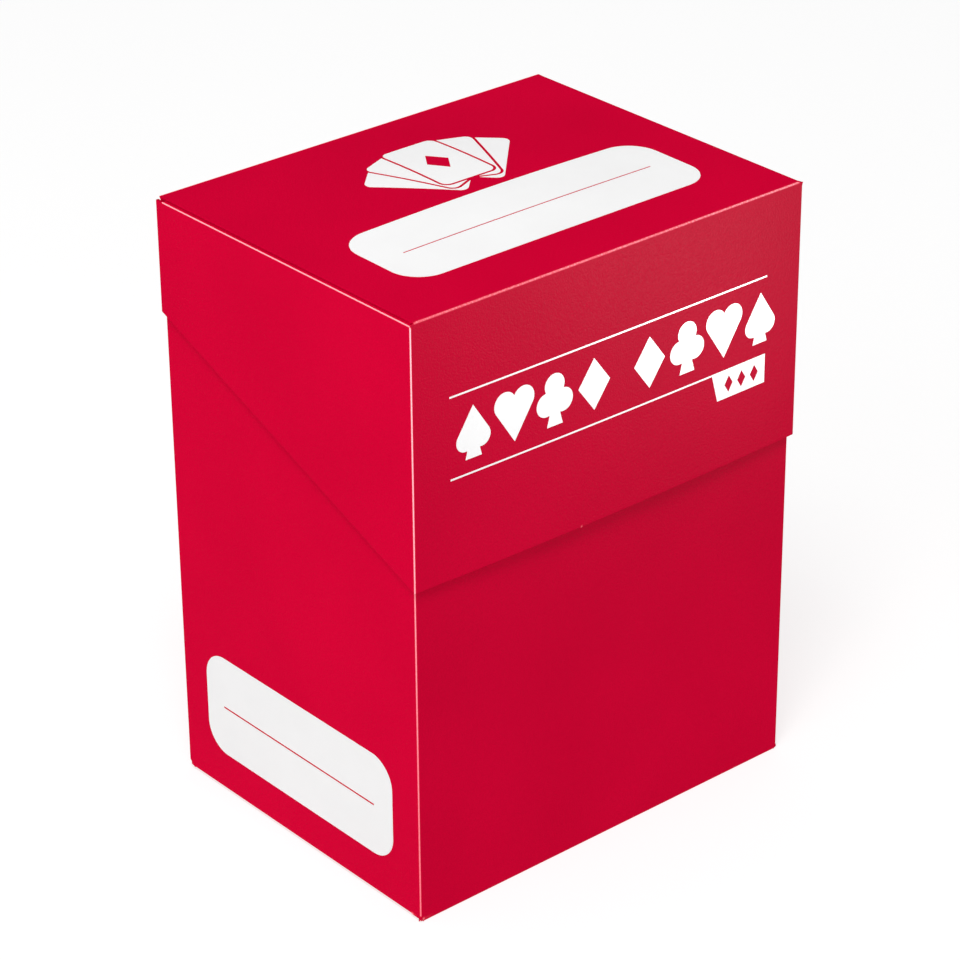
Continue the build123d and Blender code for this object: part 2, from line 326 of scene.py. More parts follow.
@dataclass(frozen=True)
class Edge:
    """One edge of a panel: how it ends, the stretch that is folded, and the line on its crease."""

    kind: EdgeKind = EdgeKind.CUT
    span: Optional[tuple[float, float]] = None
    crease: Optional[Crease] = None

    @staticmethod
    def profile(kind: EdgeKind) -> Array:
        """Rows of a panel's grid over one kind of edge.

        A fold's outer face turns on a circle from the 45 degree mitre to flat: at turn a its inset is
        r(1 - sin a) and its depth r(1 - cos a), and its inner face starts one thickness in. A cut's
        two faces turn on a small circle from 90 degrees to flat. A butt is square.

        Args:
            kind: How the edge ends.

        Returns:
            Five rows: outer inset, outer depth, inner inset, inner depth, distance from the crease.
        """
        turn = np.linspace(1, 0, ARC_ROWS)
        band = np.array(EDGE_BAND)
        still = np.zeros(len(band))
        if kind is EdgeKind.FOLD:
            angle = turn * math.pi / 4
            inset = np.concatenate([FOLD_RADIUS * (1 - np.sin(angle)), band])
            depth = np.concatenate([FOLD_RADIUS * (1 - np.cos(angle)), still])
            inner = np.linspace(SHEET, EDGE_BAND[-1], len(inset))
            past = band - FOLD_RADIUS * (1 - math.pi / 4)
            arc = np.concatenate([FOLD_RADIUS * (math.pi / 4 - angle), past])
            return np.stack([inset, depth, inner, np.full(len(inset), SHEET), arc])
        if kind is EdgeKind.CUT:
            angle = turn * math.pi / 2
            inset = np.concatenate([CUT_RADIUS * (1 - np.sin(angle)), band])
            depth = np.concatenate([CUT_RADIUS * (1 - np.cos(angle)), still])
            return np.stack([inset, depth, inset, SHEET - depth, np.full(len(inset), NO_CREASE)])
        inset = np.concatenate([np.linspace(0, BUTT_BAND, ARC_ROWS), band])
        return np.stack([inset, 0 * inset, inset, 0 * inset + SHEET, np.full(len(inset), NO_CREASE)])

    def rows(self, place: Array) -> Array:
        """The edge's rows at each place along it, cut where it isn't folded.

        Args:
            place: Places along the edge, of any shape.

        Returns:
            Five by rows by the places' shape.
        """
        spread = (slice(None), slice(None)) + (None,) * np.ndim(place)
        own = self.profile(self.kind)[spread]
        if self.span is None:
            return np.broadcast_to(own, own.shape[:2] + np.shape(place))
        folded = (place > self.span[0]) & (place < self.span[1])
        return np.where(folded, own, self.profile(EdgeKind.CUT)[spread])

    def whitening(self, arc: Array, place: Array) -> Array:
        """Strength of the crease's line, which falls as exp(-(distance / half width) ** 4).

        Args:
            arc: Distances from the crease.
            place: Places along it.

        Returns:
            The strength at each point.
        """
        if self.crease is None:
            return np.zeros(np.broadcast(arc, place).shape)
        return self.crease.strength(place) * np.exp(-((arc / self.crease.half_width) ** 4))


CUT_EDGE = Edge()
BUTT_EDGE = Edge(EdgeKind.BUTT)


@dataclass(frozen=True)
class Panel:
    """One plate of the sheet, between two levels across it and two limits along it.

    left and right are the edges at the low and high ends across, low and high those along. bottom and
    top give the limits as functions of the place across. lines_across and lines_along are extra grid
    lines, and spots are small stress marks: place across, place along, radius and strength. inside
    is the share of the whitening that shows on the inner face.
    """

    name: str
    face: Face
    ends: tuple[float, float]
    bottom: Limit
    top: Limit
    left: Edge = CUT_EDGE
    right: Edge = CUT_EDGE
    low: Edge = CUT_EDGE
    high: Edge = CUT_EDGE
    bow: Bow = flat
    cells: tuple[int, int] = (36, 36)
    lines_across: Sequence[float] = ()
    lines_along: Sequence[float] = ()
    spots: Sequence[Spot] = ()
    inside: float = 0.45

    def _middle(self, low: float, high: float, cells: int, extra: Sequence[float]) -> Array:
        """Grid lines between the two edge bands.

        Args:
            low: Where the panel starts.
            high: Where it ends.
            cells: Even cells between the bands.
            extra: Further lines wanted.

        Returns:
            The lines, in order.
        """
        start = low + EDGE_BAND[-1]
        stop = high - EDGE_BAND[-1]
        wanted = np.array([x for x in extra if start + LINE_CLEAR < x < stop - LINE_CLEAR])
        even = np.linspace(start, stop, cells + 1)[1:-1]
        if len(wanted):
            even = even[np.abs(even[:, None] - wanted[None, :]).min(axis=1) > LINE_GAP]
        return np.unique(np.round(np.concatenate([even, wanted]), 5))

    def _grid(self) -> tuple[Array, Array, Array, Array, Array, Array, Array]:
        """Both faces' parameters and depths, and the outer face's marks.

        Returns:
            Outer u, v and depth, inner u, v and depth, and the marks.
        """
        rows = ARC_ROWS + len(EDGE_BAND)
        across = self._middle(*self.ends, self.cells[0], self.lines_across)
        span_low = float(self.bottom(np.array(across.mean())))
        span_high = float(self.top(np.array(across.mean())))
        along = self._middle(span_low, span_high, self.cells[1], self.lines_along)
        share = (along - span_low - EDGE_BAND[-1]) / (span_high - span_low - 2 * EDGE_BAND[-1])
        left, right = (Edge.profile(edge.kind) for edge in (self.left, self.right))
        count = (len(across) + 2 * rows, len(along) + 2 * rows)
        faces = []
        for inset_row, depth_row in ((0, 1), (2, 3)):
            last = self.ends[1] - right[inset_row][::-1]
            u = np.concatenate([self.ends[0] + left[inset_row], across, last])
            bottom = self.bottom(u)
            top = self.top(u)
            low = self.low.rows(u)
            high = self.high.rows(u)[:, ::-1]
            middle = (bottom + EDGE_BAND[-1]) + share[:, None] * (top - bottom - 2 * EDGE_BAND[-1])
            v = np.concatenate([bottom + low[inset_row], middle, top - high[inset_row]]).T
            u = np.repeat(u[:, None], count[1], axis=1)
            left_rows = self.left.rows(v[:rows].mean(axis=0))
            right_rows = self.right.rows(v[-rows:].mean(axis=0))[:, ::-1]
            u[:rows] = self.ends[0] + left_rows[inset_row]
            u[-rows:] = self.ends[1] - right_rows[inset_row]
            edge_depth = np.zeros(count) if inset_row == 0 else np.full(count, SHEET)
            pick = np.maximum if inset_row == 0 else np.minimum
            edge_depth[:rows] = pick(edge_depth[:rows], left_rows[depth_row])
            edge_depth[-rows:] = pick(edge_depth[-rows:], right_rows[depth_row])
            edge_depth[:, :rows] = pick(edge_depth[:, :rows], low[depth_row].T)
            edge_depth[:, -rows:] = pick(edge_depth[:, -rows:], high[depth_row].T)
            faces.append((u, v, edge_depth))
        (u, v, depth), (inner_u, inner_v, inner_depth) = faces
        marks = np.zeros(count + (3,))
        self._stress(marks, self.left, np.s_[:rows], left[4][:, None], v)
        self._stress(marks, self.right, np.s_[-rows:], right[4][::-1, None], v)
        low_arc = Edge.profile(self.low.kind)[4][None, :]
        high_arc = Edge.profile(self.high.kind)[4][None, ::-1]
        self._stress(marks, self.low, np.s_[:, :rows], low_arc, u)
        self._stress(marks, self.high, np.s_[:, -rows:], high_arc, u)
        # a spot's strength falls as exp(-(distance / radius) ** 2)
        for spot_u, spot_v, radius, strength in self.spots:
            away = np.hypot(u - spot_u, v - spot_v) / radius
            marks[..., 0] = np.maximum(marks[..., 0], strength * np.exp(-(away**2)))
        folded = np.zeros(count)
        folded[:rows] = self.left.kind is EdgeKind.FOLD
        folded[-rows:] = self.right.kind is EdgeKind.FOLD
        # painted shade: where the outer face turns down at an edge, except the left and right folds, it is
        # marked for the darker cut colour
        marks[..., 2] = (1 - folded) * np.clip(depth / CUT_RADIUS, 0, 1)
        return u, v, depth, inner_u, inner_v, inner_depth, marks

    @staticmethod
    def _stress(marks: Array, edge: Edge, rows_here: object, arc: Array, place: Array) -> None:
        """Adds one edge's crease line to the marks.

        Args:
            marks: The marks, changed in place.
            edge: The edge.
            rows_here: The slice of the marks near it.
            arc: Distances from its crease.
            place: Places along it, for the whole grid.
        """
        if edge.crease is None:
            return
        white = edge.whitening(arc, place[rows_here])
        stronger = white > marks[rows_here][..., 0]
        marks[rows_here][..., 0][stronger] = white[stronger]
        marks[rows_here][..., 1][stronger] = edge.crease.speckle

    def build(self) -> Piece:
        """Makes the plate as a closed shell.

        Returns:
            The new object.
        """
        u, v, depth, inner_u, inner_v, inner_depth, marks = self._grid()
        outer = self.face.points(u, v, -depth, self.bow)
        inner = self.face.points(inner_u, inner_v, -inner_depth, self.bow)
        inside = marks * np.array([self.inside, 1.0, 1.0])
        vertices, faces = shell(outer, inner, self.face.handed)
        both = np.concatenate([marks.reshape(-1, 3), inside.reshape(-1, 3)])
        made = write_mesh(self.name, vertices, faces, both)
        smooth(made)
        return made


# ---------------------------------------------------------------- finishes


class Nodes:
    """A material's or world's node tree, with short ways to add and join nodes."""

    def __init__(self, tree: bpy.types.NodeTree) -> None:
        """Empties the tree.

        Args:
            tree: The node tree to fill.
        """
        self.tree = tree
        tree.nodes.clear()

    def add(self, kind: str, sockets: Optional[dict] = None, **settings: object) -> bpy.types.Node:
        """Adds a node.

        Args:
            kind: The node's type name.
            sockets: Values, or sockets of other nodes, by input name or index.
            **settings: The node's own properties.

        Returns:
            The new node.
        """
        node = self.tree.nodes.new(kind)
        for key, value in settings.items():
            setattr(node, key, value)
        for key, value in (sockets or {}).items():
            if isinstance(value, Socket):
                self.tree.links.new(value, node.inputs[key])
            else:
                node.inputs[key].default_value = value
        return node

    def mix(self, factor: object, first: object, second: object) -> Socket:
        """A colour that goes from first to second as the factor goes from 0 to 1.

        Args:
            factor: A number or socket.
            first: A colour or socket.
            second: A colour or socket.

        Returns:
            The mixed colour.
        """
        node = self.add("ShaderNodeMix", data_type="RGBA")
        for index, value in ((0, factor), (6, first), (7, second)):
            if isinstance(value, Socket):
                self.tree.links.new(value, node.inputs[index])
            else:
                node.inputs[index].default_value = value
        return node.outputs[2]

    def math(self, operation: str, first: object, second: object) -> Socket:
        """One arithmetic step."""
        return self.add("ShaderNodeMath", {0: first, 1: second}, operation=operation).outputs[0]

    def noise(self, coordinates: Socket, scale: float, detail: float = 2.0) -> Socket:
        """A noise pattern on the given coordinates."""
        sockets = {"Vector": coordinates, "Scale": scale, "Detail": detail, "Roughness": 0.55}
        return self.add("ShaderNodeTexNoise", sockets).outputs["Fac"]

    def ramp(self, value: Socket, start: float, stop: float, low: float, high: float) -> Socket:
        """Carries a value from one range to another, clamped."""
        sockets = {"Value": value, "From Min": start, "From Max": stop, "To Min": low, "To Max": high}
        return self.add("ShaderNodeMapRange", sockets).outputs["Result"]


def opaque(colour: Colour) -> tuple[float, float, float, float]:
    """A colour with full alpha."""
    return (*colour, 1.0)


@dataclass(frozen=True)
class SheetFinish:
    """Creased polypropylene sheet with a fine matte grain.

    Colours are linear, and scales are per metre. red and deep mingle in wide clouds, and flecks of
    the grain are deep. Whitening takes the colour to bruise at half strength and to stress at full
    strength. The rounded arris of a cut edge takes the darker cut colour, a painted shade. Both come
    from the sheet's marks. dot_swing is how much darker and paler the dots of a speckled line are.
    """

    name: str = "red_sheet"
    red: Colour = (0.632, 0.0004, 0.0330)
    deep: Colour = (0.580, 0.0002, 0.0295)
    bruise: Colour = (1.0, 0.15, 0.20)
    stress: Colour = (1.0, 0.66, 0.71)
    # painted shade: the darker colour laid on the rounded arris of the cut edges
    cut: Colour = (0.46, 0.0004, 0.0240)
    roughness: tuple[float, float] = (0.40, 0.50)
    specular: float = 0.004
    cloud_scale: float = 32.0
    grain_scale: float = 3300.0
    grain_height: float = 0.00006
    fleck: float = 0.6
    dot_scale: float = 3200.0
    dot_swing: tuple[float, float] = (-0.12, 0.5)

    def material(self) -> bpy.types.Material:
        """Builds the finish.

        Returns:
            The material.
        """
        made = bpy.data.materials.new(self.name)
        made.use_nodes = True
        nodes = Nodes(made.node_tree)
        coordinates = nodes.add("ShaderNodeTexCoord").outputs["Object"]
        grain = nodes.noise(coordinates, self.grain_scale, 3.0)
        cloud = nodes.noise(coordinates, self.cloud_scale)
        mottle = nodes.ramp(cloud, 0.35, 0.65, 0.0, 1.0)
        base = nodes.mix(mottle, opaque(self.deep), opaque(self.red))
        fleck = nodes.ramp(grain, 0.35, 0.65, 0.0, self.fleck)
        base = nodes.mix(fleck, base, opaque(self.deep))
        marks = nodes.add("ShaderNodeAttribute", attribute_name=MARKS, attribute_type="GEOMETRY")
        split = nodes.add("ShaderNodeSeparateColor", {"Color": marks.outputs["Color"]})
        dots = nodes.ramp(nodes.noise(coordinates, self.dot_scale), 0.40, 0.66, *self.dot_swing)
        swing = nodes.math("MULTIPLY", split.outputs[1], dots)
        white = nodes.math("MULTIPLY", split.outputs[0], nodes.math("ADD", 1.0, swing))
        # painted shade: the marked edges take the darker cut colour
        base = nodes.mix(split.outputs[2], base, opaque(self.cut))
        base = nodes.mix(nodes.ramp(white, 0.0, 0.5, 0.0, 1.0), base, opaque(self.bruise))
        base = nodes.mix(nodes.ramp(white, 0.5, 1.0, 0.0, 1.0), base, opaque(self.stress))
        rough = nodes.ramp(grain, 0.3, 0.7, *self.roughness)
        sockets = {"Height": grain, "Strength": 1.0, "Distance": self.grain_height}
        bump = nodes.add("ShaderNodeBump", sockets)
        surface = {"Base Color": base, "Roughness": rough, "Normal": bump.outputs["Normal"]}
        shader = nodes.add("ShaderNodeBsdfPrincipled", surface | {"Specular IOR Level": self.specular})
        nodes.add("ShaderNodeOutputMaterial", {"Surface": shader.outputs["BSDF"]})
        return made


@dataclass(frozen=True)
class InkFinish:
    """Opaque white print with a satin face and a faintly uneven lay, thin in wide clouds."""

    name: str = "white_ink"
    bright: Colour = (0.985, 0.985, 0.985)
    thin: Colour = (0.96, 0.955, 0.955)
    roughness: tuple[float, float] = (0.30, 0.42)
    specular: float = 0.20
    cloud_scale: float = 70.0
    grain_scale: float = 2200.0
    grain_height: float = 0.000006

    def material(self) -> bpy.types.Material:
        """Builds the finish.

        Returns:
            The material.
        """
        made = bpy.data.materials.new(self.name)
        made.use_nodes = True
        nodes = Nodes(made.node_tree)
        coordinates = nodes.add("ShaderNodeTexCoord").outputs["Object"]
        cloud = nodes.noise(coordinates, self.cloud_scale, 3.0)
        grain = nodes.noise(coordinates, self.grain_scale)
        mottle = nodes.ramp(cloud, 0.35, 0.65, 0.0, 1.0)
        base = nodes.mix(mottle, opaque(self.thin), opaque(self.bright))
        rough = nodes.ramp(grain, 0.3, 0.7, *self.roughness)
        sockets = {"Height": grain, "Strength": 0.3, "Distance": self.grain_height}
        bump = nodes.add("ShaderNodeBump", sockets)
        surface = {"Base Color": base, "Roughness": rough, "Normal": bump.outputs["Normal"]}
        shader = nodes.add("ShaderNodeBsdfPrincipled", surface | {"Specular IOR Level": self.specular})
        nodes.add("ShaderNodeOutputMaterial", {"Surface": shader.outputs["BSDF"]})
        return made


@dataclass
class Workshop:
    """Dresses finished meshes and hangs them on their bodies."""

    red: bpy.types.Material
    ink: bpy.types.Material
    # a greyer copy of the white ink, painted shade on the case's print
    shaded_side_ink: bpy.types.Material
    divider: bpy.types.Material

    def sheet(self, made: Piece, body: str, *nodes: str) -> Piece:
        """Finishes a panel of the box's sheet.

        Args:
            made: The panel.
            body: The body it rides on.
            *nodes: The CAD nodes that it stands for.

        Returns:
            The panel.
        """
        return self._place(made, self.red, "red_sheet", body, nodes)

    def print(self, made: Piece, body: str, *nodes: str) -> Piece:
        """Finishes a film of print, as sheet() does a panel. The case's is a greyer copy of the white ink, a
        painted shade.
        """
        material = self.shaded_side_ink if body == "case" else self.ink
        return self._place(made, material, "white_ink", body, nodes)

    def loose(self, made: Piece, body: str, *nodes: str) -> Piece:
        """Finishes the loose divider, as sheet() does a panel."""
        return self._place(made, self.divider, "divider_sheet", body, nodes)

    @staticmethod
    def _place(
        made: Piece, material: bpy.types.Material, slot: str, body: str, nodes: tuple[str, ...]
    ) -> Piece:
        """Gives a piece its material, body and the nodes that it replaces.

        Args:
            made: The piece.
            material: Its finish.
            slot: Not used.
            body: The body it rides on, or nothing for a blend.
            nodes: The CAD nodes that it stands for.

        Returns:
            The piece.
        """
        made.data.materials.append(material)
        if body:
            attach(made, body)
        if nodes:
            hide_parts(*nodes)
        LOG.info("%s: %d faces on %s for %s", made.name, len(made.data.polygons), body or "a blend", nodes)
        return made


# ---------------------------------------------------------------- bulges


@dataclass(frozen=True)
class Bulges:
    """How far the sprung panels stand off their flat planes."""

    box: Box
    top_height: float = 0.8
    front_height: float = 0.55
    back_height: float = 0.25

    def top(self, points: Array) -> Array:
        """The lid top's bulge, skewed to the back.

        With t from 0 at the front crease to 1 at the hinge, it is the height times
        t^3 (1 - t)^1.55 / 0.054, times (1 - (x / edge)^2)^1.5, so that it is nothing on all four sides.

        Args:
            points: Points of the flat panel.

        Returns:
            The height at each point.
        """
        span = self.box.back_y - self.box.lid_front_y
        t = np.clip((points[..., 1] - self.box.lid_front_y) / span, 0, 1)
        side = np.clip(1 - (points[..., 0] / self.box.top_x) ** 2, 0, 1)
        return self.top_height * t**3 * (1 - t) ** 1.55 / 0.054 * side**1.5

    def front(self, points: Array) -> Array:
        """The lid front's bulge: height (1 - (x / edge)^2) (drop below the top / drop in all)^0.8.

        Args:
            points: Points of the flat panel.

        Returns:
            The height at each point.
        """
        side = np.clip(1 - (points[..., 0] / self.box.lid_side_x) ** 2, 0, 1)
        drop = np.clip((self.box.top_z - points[..., 2]) / (self.box.top_z - self.box.lid_front_z), 0, 1)
        return self.front_height * side * drop**0.8

    def back(self, points: Array) -> Array:
        """The back's bulge: height (1 - (x / edge)^2) times a half sine wave from foot to hinge.

        Args:
            points: Points of the flat panel.

        Returns:
            The height at each point.
        """
        side = np.clip(1 - (points[..., 0] / self.box.back_x) ** 2, 0, 1)
        rise = np.clip(points[..., 2] / self.box.top_z, 0, 1)
        return self.back_height * side * np.sin(math.pi * rise)


# ---------------------------------------------------------------- the case


@dataclass
class Case:
    """The box's body: front, back, bottom, two sides, bottom tabs and glue flaps."""

    box: Box
    bulges: Bulges
    shop: Workshop
    relief: float = 0.6
    notch_width: float = 26.0
    notch_depth: float = 10.0
    notch_lip: float = 1.5
    line_start: float = 1.05
    line_stop: float = 96.0
    tab_line: Crease = Crease(0.8, 0.55, 0.12, 0.1)
    flap_line: Crease = Crease(0.75, 0.75, 0.13)
    tab_z: float = 0.5
    tab_reach: float = 18.0
    tab_front: float = 2.0
    tab_back: float = 1.6
    slant: float = 3.5
    side_back: float = 0.4
    chamfer: float = 1.0
    flap_reach: float = 14.0
    flap_z: tuple[float, float] = (1.5, 94.0)
    hinge_clear: float = 0.8

    def upright_line(self) -> Crease:
        """The line on a front corner's crease, which starts above the relieved foot corner."""
        return Crease(0.56, 0.8, 0.108, 0.15, (self.line_start, self.line_stop))

    def _notch(self) -> tuple[float, float, float]:
        """The thumb notch's circles.

        The notch is a circle of radius (d^2 + (w/2)^2) / 2d whose lowest point is d under the rim. A
        lip circle, tangent to it and to the rim, rounds each corner.

        Returns:
            The notch's radius, its centre's height, and how far out a lip's centre is.
        """
        radius = (self.notch_depth**2 + (self.notch_width / 2) ** 2) / (2 * self.notch_depth)
        centre = self.box.rim_z - self.notch_depth + radius
        lip_z = self.box.rim_z - self.notch_lip
        return radius, centre, math.sqrt((radius + self.notch_lip) ** 2 - (centre - lip_z) ** 2)

    def notched_rim(self, x: Array) -> Array:
        """The front's rim: the notch's circle, the two lips and the level rim outside them.

        Args:
            x: Places across the front.

        Returns:
            The rim's heights.
        """
        radius, centre, lip_x = self._notch()
        lip_z = self.box.rim_z - self.notch_lip
        touch = lip_x * radius / (radius + self.notch_lip)
        x = np.abs(x)
        bowl = centre - np.sqrt(np.maximum(radius**2 - x**2, 0))
        lip = lip_z + np.sqrt(np.maximum(self.notch_lip**2 - (x - lip_x) ** 2, 0))
        return np.where(x < touch, bowl, np.where(x < lip_x, lip, self.box.rim_z))

    def front(self) -> Piece:
        """The front, with its relieved foot corners and the thumb notch.

        Returns:
            The piece.
        """
        box = self.box
        radius, _, lip_x = self._notch()
        bowl = np.sin(np.linspace(-1.24, 1.24, 61)) * radius
        lips = round(lip_x, 3) - self.notch_lip * np.cos(np.linspace(0, math.pi / 2, 14))
        side = Edge(EdgeKind.FOLD, (self.relief, LONG), self.upright_line())
        foot = Edge(EdgeKind.FOLD, (-box.bottom_x, box.bottom_x), Crease(0.3, 0.3, 0.12, 0.6))
        panel = Panel(
            "case_front",
            Face(0, 2, 1, -1, box.case_front_y),
            (-box.case_side_x, box.case_side_x),
            lambda x: np.clip(np.abs(x) - box.bottom_x, 0, self.relief),
            self.notched_rim,
            left=side,
            right=side,
            low=foot,
            lines_across=[*bowl, *lips, *(-lips)],
            lines_along=near(1.2),
            cells=(40, 48),
            spots=[(0.55 - box.case_side_x, 0.5, 0.16, 0.75)],
        )
        return self.shop.sheet(panel.build(), "case", "case_front_panel")

    def back(self) -> Piece:
        """The back, which ends just short of the hinge.

        Returns:
            The piece.
        """
        box = self.box
        side = Edge(EdgeKind.FOLD, self.flap_z, replace(self.flap_line, span=self.flap_z))
        foot = Edge(EdgeKind.FOLD, None, Crease(0.4, 0.4, 0.12, 0.5))
        panel = Panel(
            "case_back",
            Face(0, 2, 1, 1, box.back_y),
            (-box.back_x, box.back_x),
            lambda x: np.clip((np.abs(x) - box.bottom_x) * 6, 0, self.relief),
            level(box.top_z - self.hinge_clear),
            left=side,
            right=side,
            low=foot,
            high=BUTT_EDGE,
            bow=self.bulges.back,
            lines_along=[*near(self.flap_z[0], 0.04), *near(self.flap_z[1], 0.04)],
            cells=(40, 48),
        )
        return self.shop.sheet(panel.build(), "case", "case_back_panel")

    def bottom(self) -> Piece:
        """The bottom, folded from the front and to the back.

        Returns:
            The piece.
        """
        box = self.box
        fold = Edge(EdgeKind.FOLD, None, Crease(0.35, 0.35, 0.12, 0.6))
        panel = Panel(
            "case_bottom",
            Face(0, 1, 2, -1, 0.0),
            (-box.bottom_x, box.bottom_x),
            level(box.case_front_y),
            level(box.back_y),
            low=fold,
            high=fold,
            cells=(30, 24),
        )
        return self.shop.sheet(panel.build(), "case", "case_bottom_panel")

    def side(self, hand: Hand) -> Piece:
        """A side, folded from the front, with its bottom tab's crease just above the floor.

        Args:
            hand: Which side.

        Returns:
            The piece.
        """
        box = self.box
        back = box.back_y - self.side_back
        crease = (box.case_front_y + self.tab_front, box.back_y - self.tab_back)
        chamfer_y = back - self.chamfer

        def foot(y: Array) -> Array:
            """Level at the tab's crease, rising at 45 degrees into the back corner.

            Args:
                y: Places along the side.

            Returns:
                The lower edge's heights.
            """
            rise = np.clip(y - chamfer_y, 0, self.chamfer)
            relieved = np.clip(box.case_front_y + self.relief - y, 0, self.relief)
            return self.tab_z + rise + relieved * (self.relief - self.tab_z) / self.relief

        panel = Panel(
            f"case_{hand.word}_side",
            Face(1, 2, 0, hand.value, hand.value * box.case_side_x),
            (box.case_front_y, back),
            foot,
            level(box.rim_z),
            left=Edge(EdgeKind.FOLD, (self.relief, LONG), self.upright_line()),
            low=Edge(EdgeKind.FOLD, crease, replace(self.tab_line, span=crease)),
            lines_across=[*near(crease[0]), *near(crease[1]), chamfer_y, chamfer_y - 0.02],
            spots=[(crease[0] - 0.1, self.tab_z + 0.1, 0.22, 0.9)],
            cells=(30, 48),
        )
        return self.shop.sheet(panel.build(), "case", f"case_{hand.word}_side_panel")

    def bottom_tab(self, hand: Hand) -> Piece:
        """A side's tab, lying on the bottom panel, with slanted ends.

        Args:
            hand: Which side.

        Returns:
            The piece.
        """
        box = self.box
        inner = box.case_side_x - self.tab_reach
        ends = sorted((hand.value * inner, hand.value * box.case_side_x))
        slope = self.slant / self.tab_reach
        fold = Edge(EdgeKind.FOLD, None, self.tab_line)
        panel = Panel(
            f"case_{hand.word}_foot_tab",
            Face(0, 1, 2, -1, self.tab_z),
            (ends[0], ends[1]),
            lambda x: box.case_front_y + self.tab_front + slope * (box.case_side_x - np.abs(x)),
            lambda x: box.back_y - self.tab_back - slope * (box.case_side_x - np.abs(x)),
            left=fold if hand is Hand.LEFT else CUT_EDGE,
            right=fold if hand is Hand.RIGHT else CUT_EDGE,
            cells=(12, 24),
        )
        return self.shop.sheet(panel.build(), "case", f"case_{hand.word}_bottom_tab")

    def glue_flap(self, hand: Hand) -> Piece:
        """The back panel's flap, glued inside a side, with slanted ends.

        Args:
            hand: Which side.

        Returns:
            The piece.
        """
        box = self.box
        slope = self.slant / self.flap_reach
        panel = Panel(
            f"case_{hand.word}_flap",
            Face(1, 2, 0, hand.value, hand.value * box.back_x),
            (box.back_y - self.flap_reach, box.back_y),
            lambda y: self.flap_z[0] + slope * (box.back_y - y),
            lambda y: self.flap_z[1] - slope * (box.back_y - y),
            right=Edge(EdgeKind.FOLD, None, self.flap_line),
            cells=(10, 36),
        )
        return self.shop.sheet(panel.build(), "case", f"case_{hand.word}_glue_flap")

    def build(self) -> list[Piece]:
        """Builds every panel of the case.

        Returns:
            The pieces.
        """
        made = [self.front(), self.back(), self.bottom()]
        for hand in Hand:
            made += [self.side(hand), self.bottom_tab(hand), self.glue_flap(hand)]
        return made


# ---------------------------------------------------------------- the lid


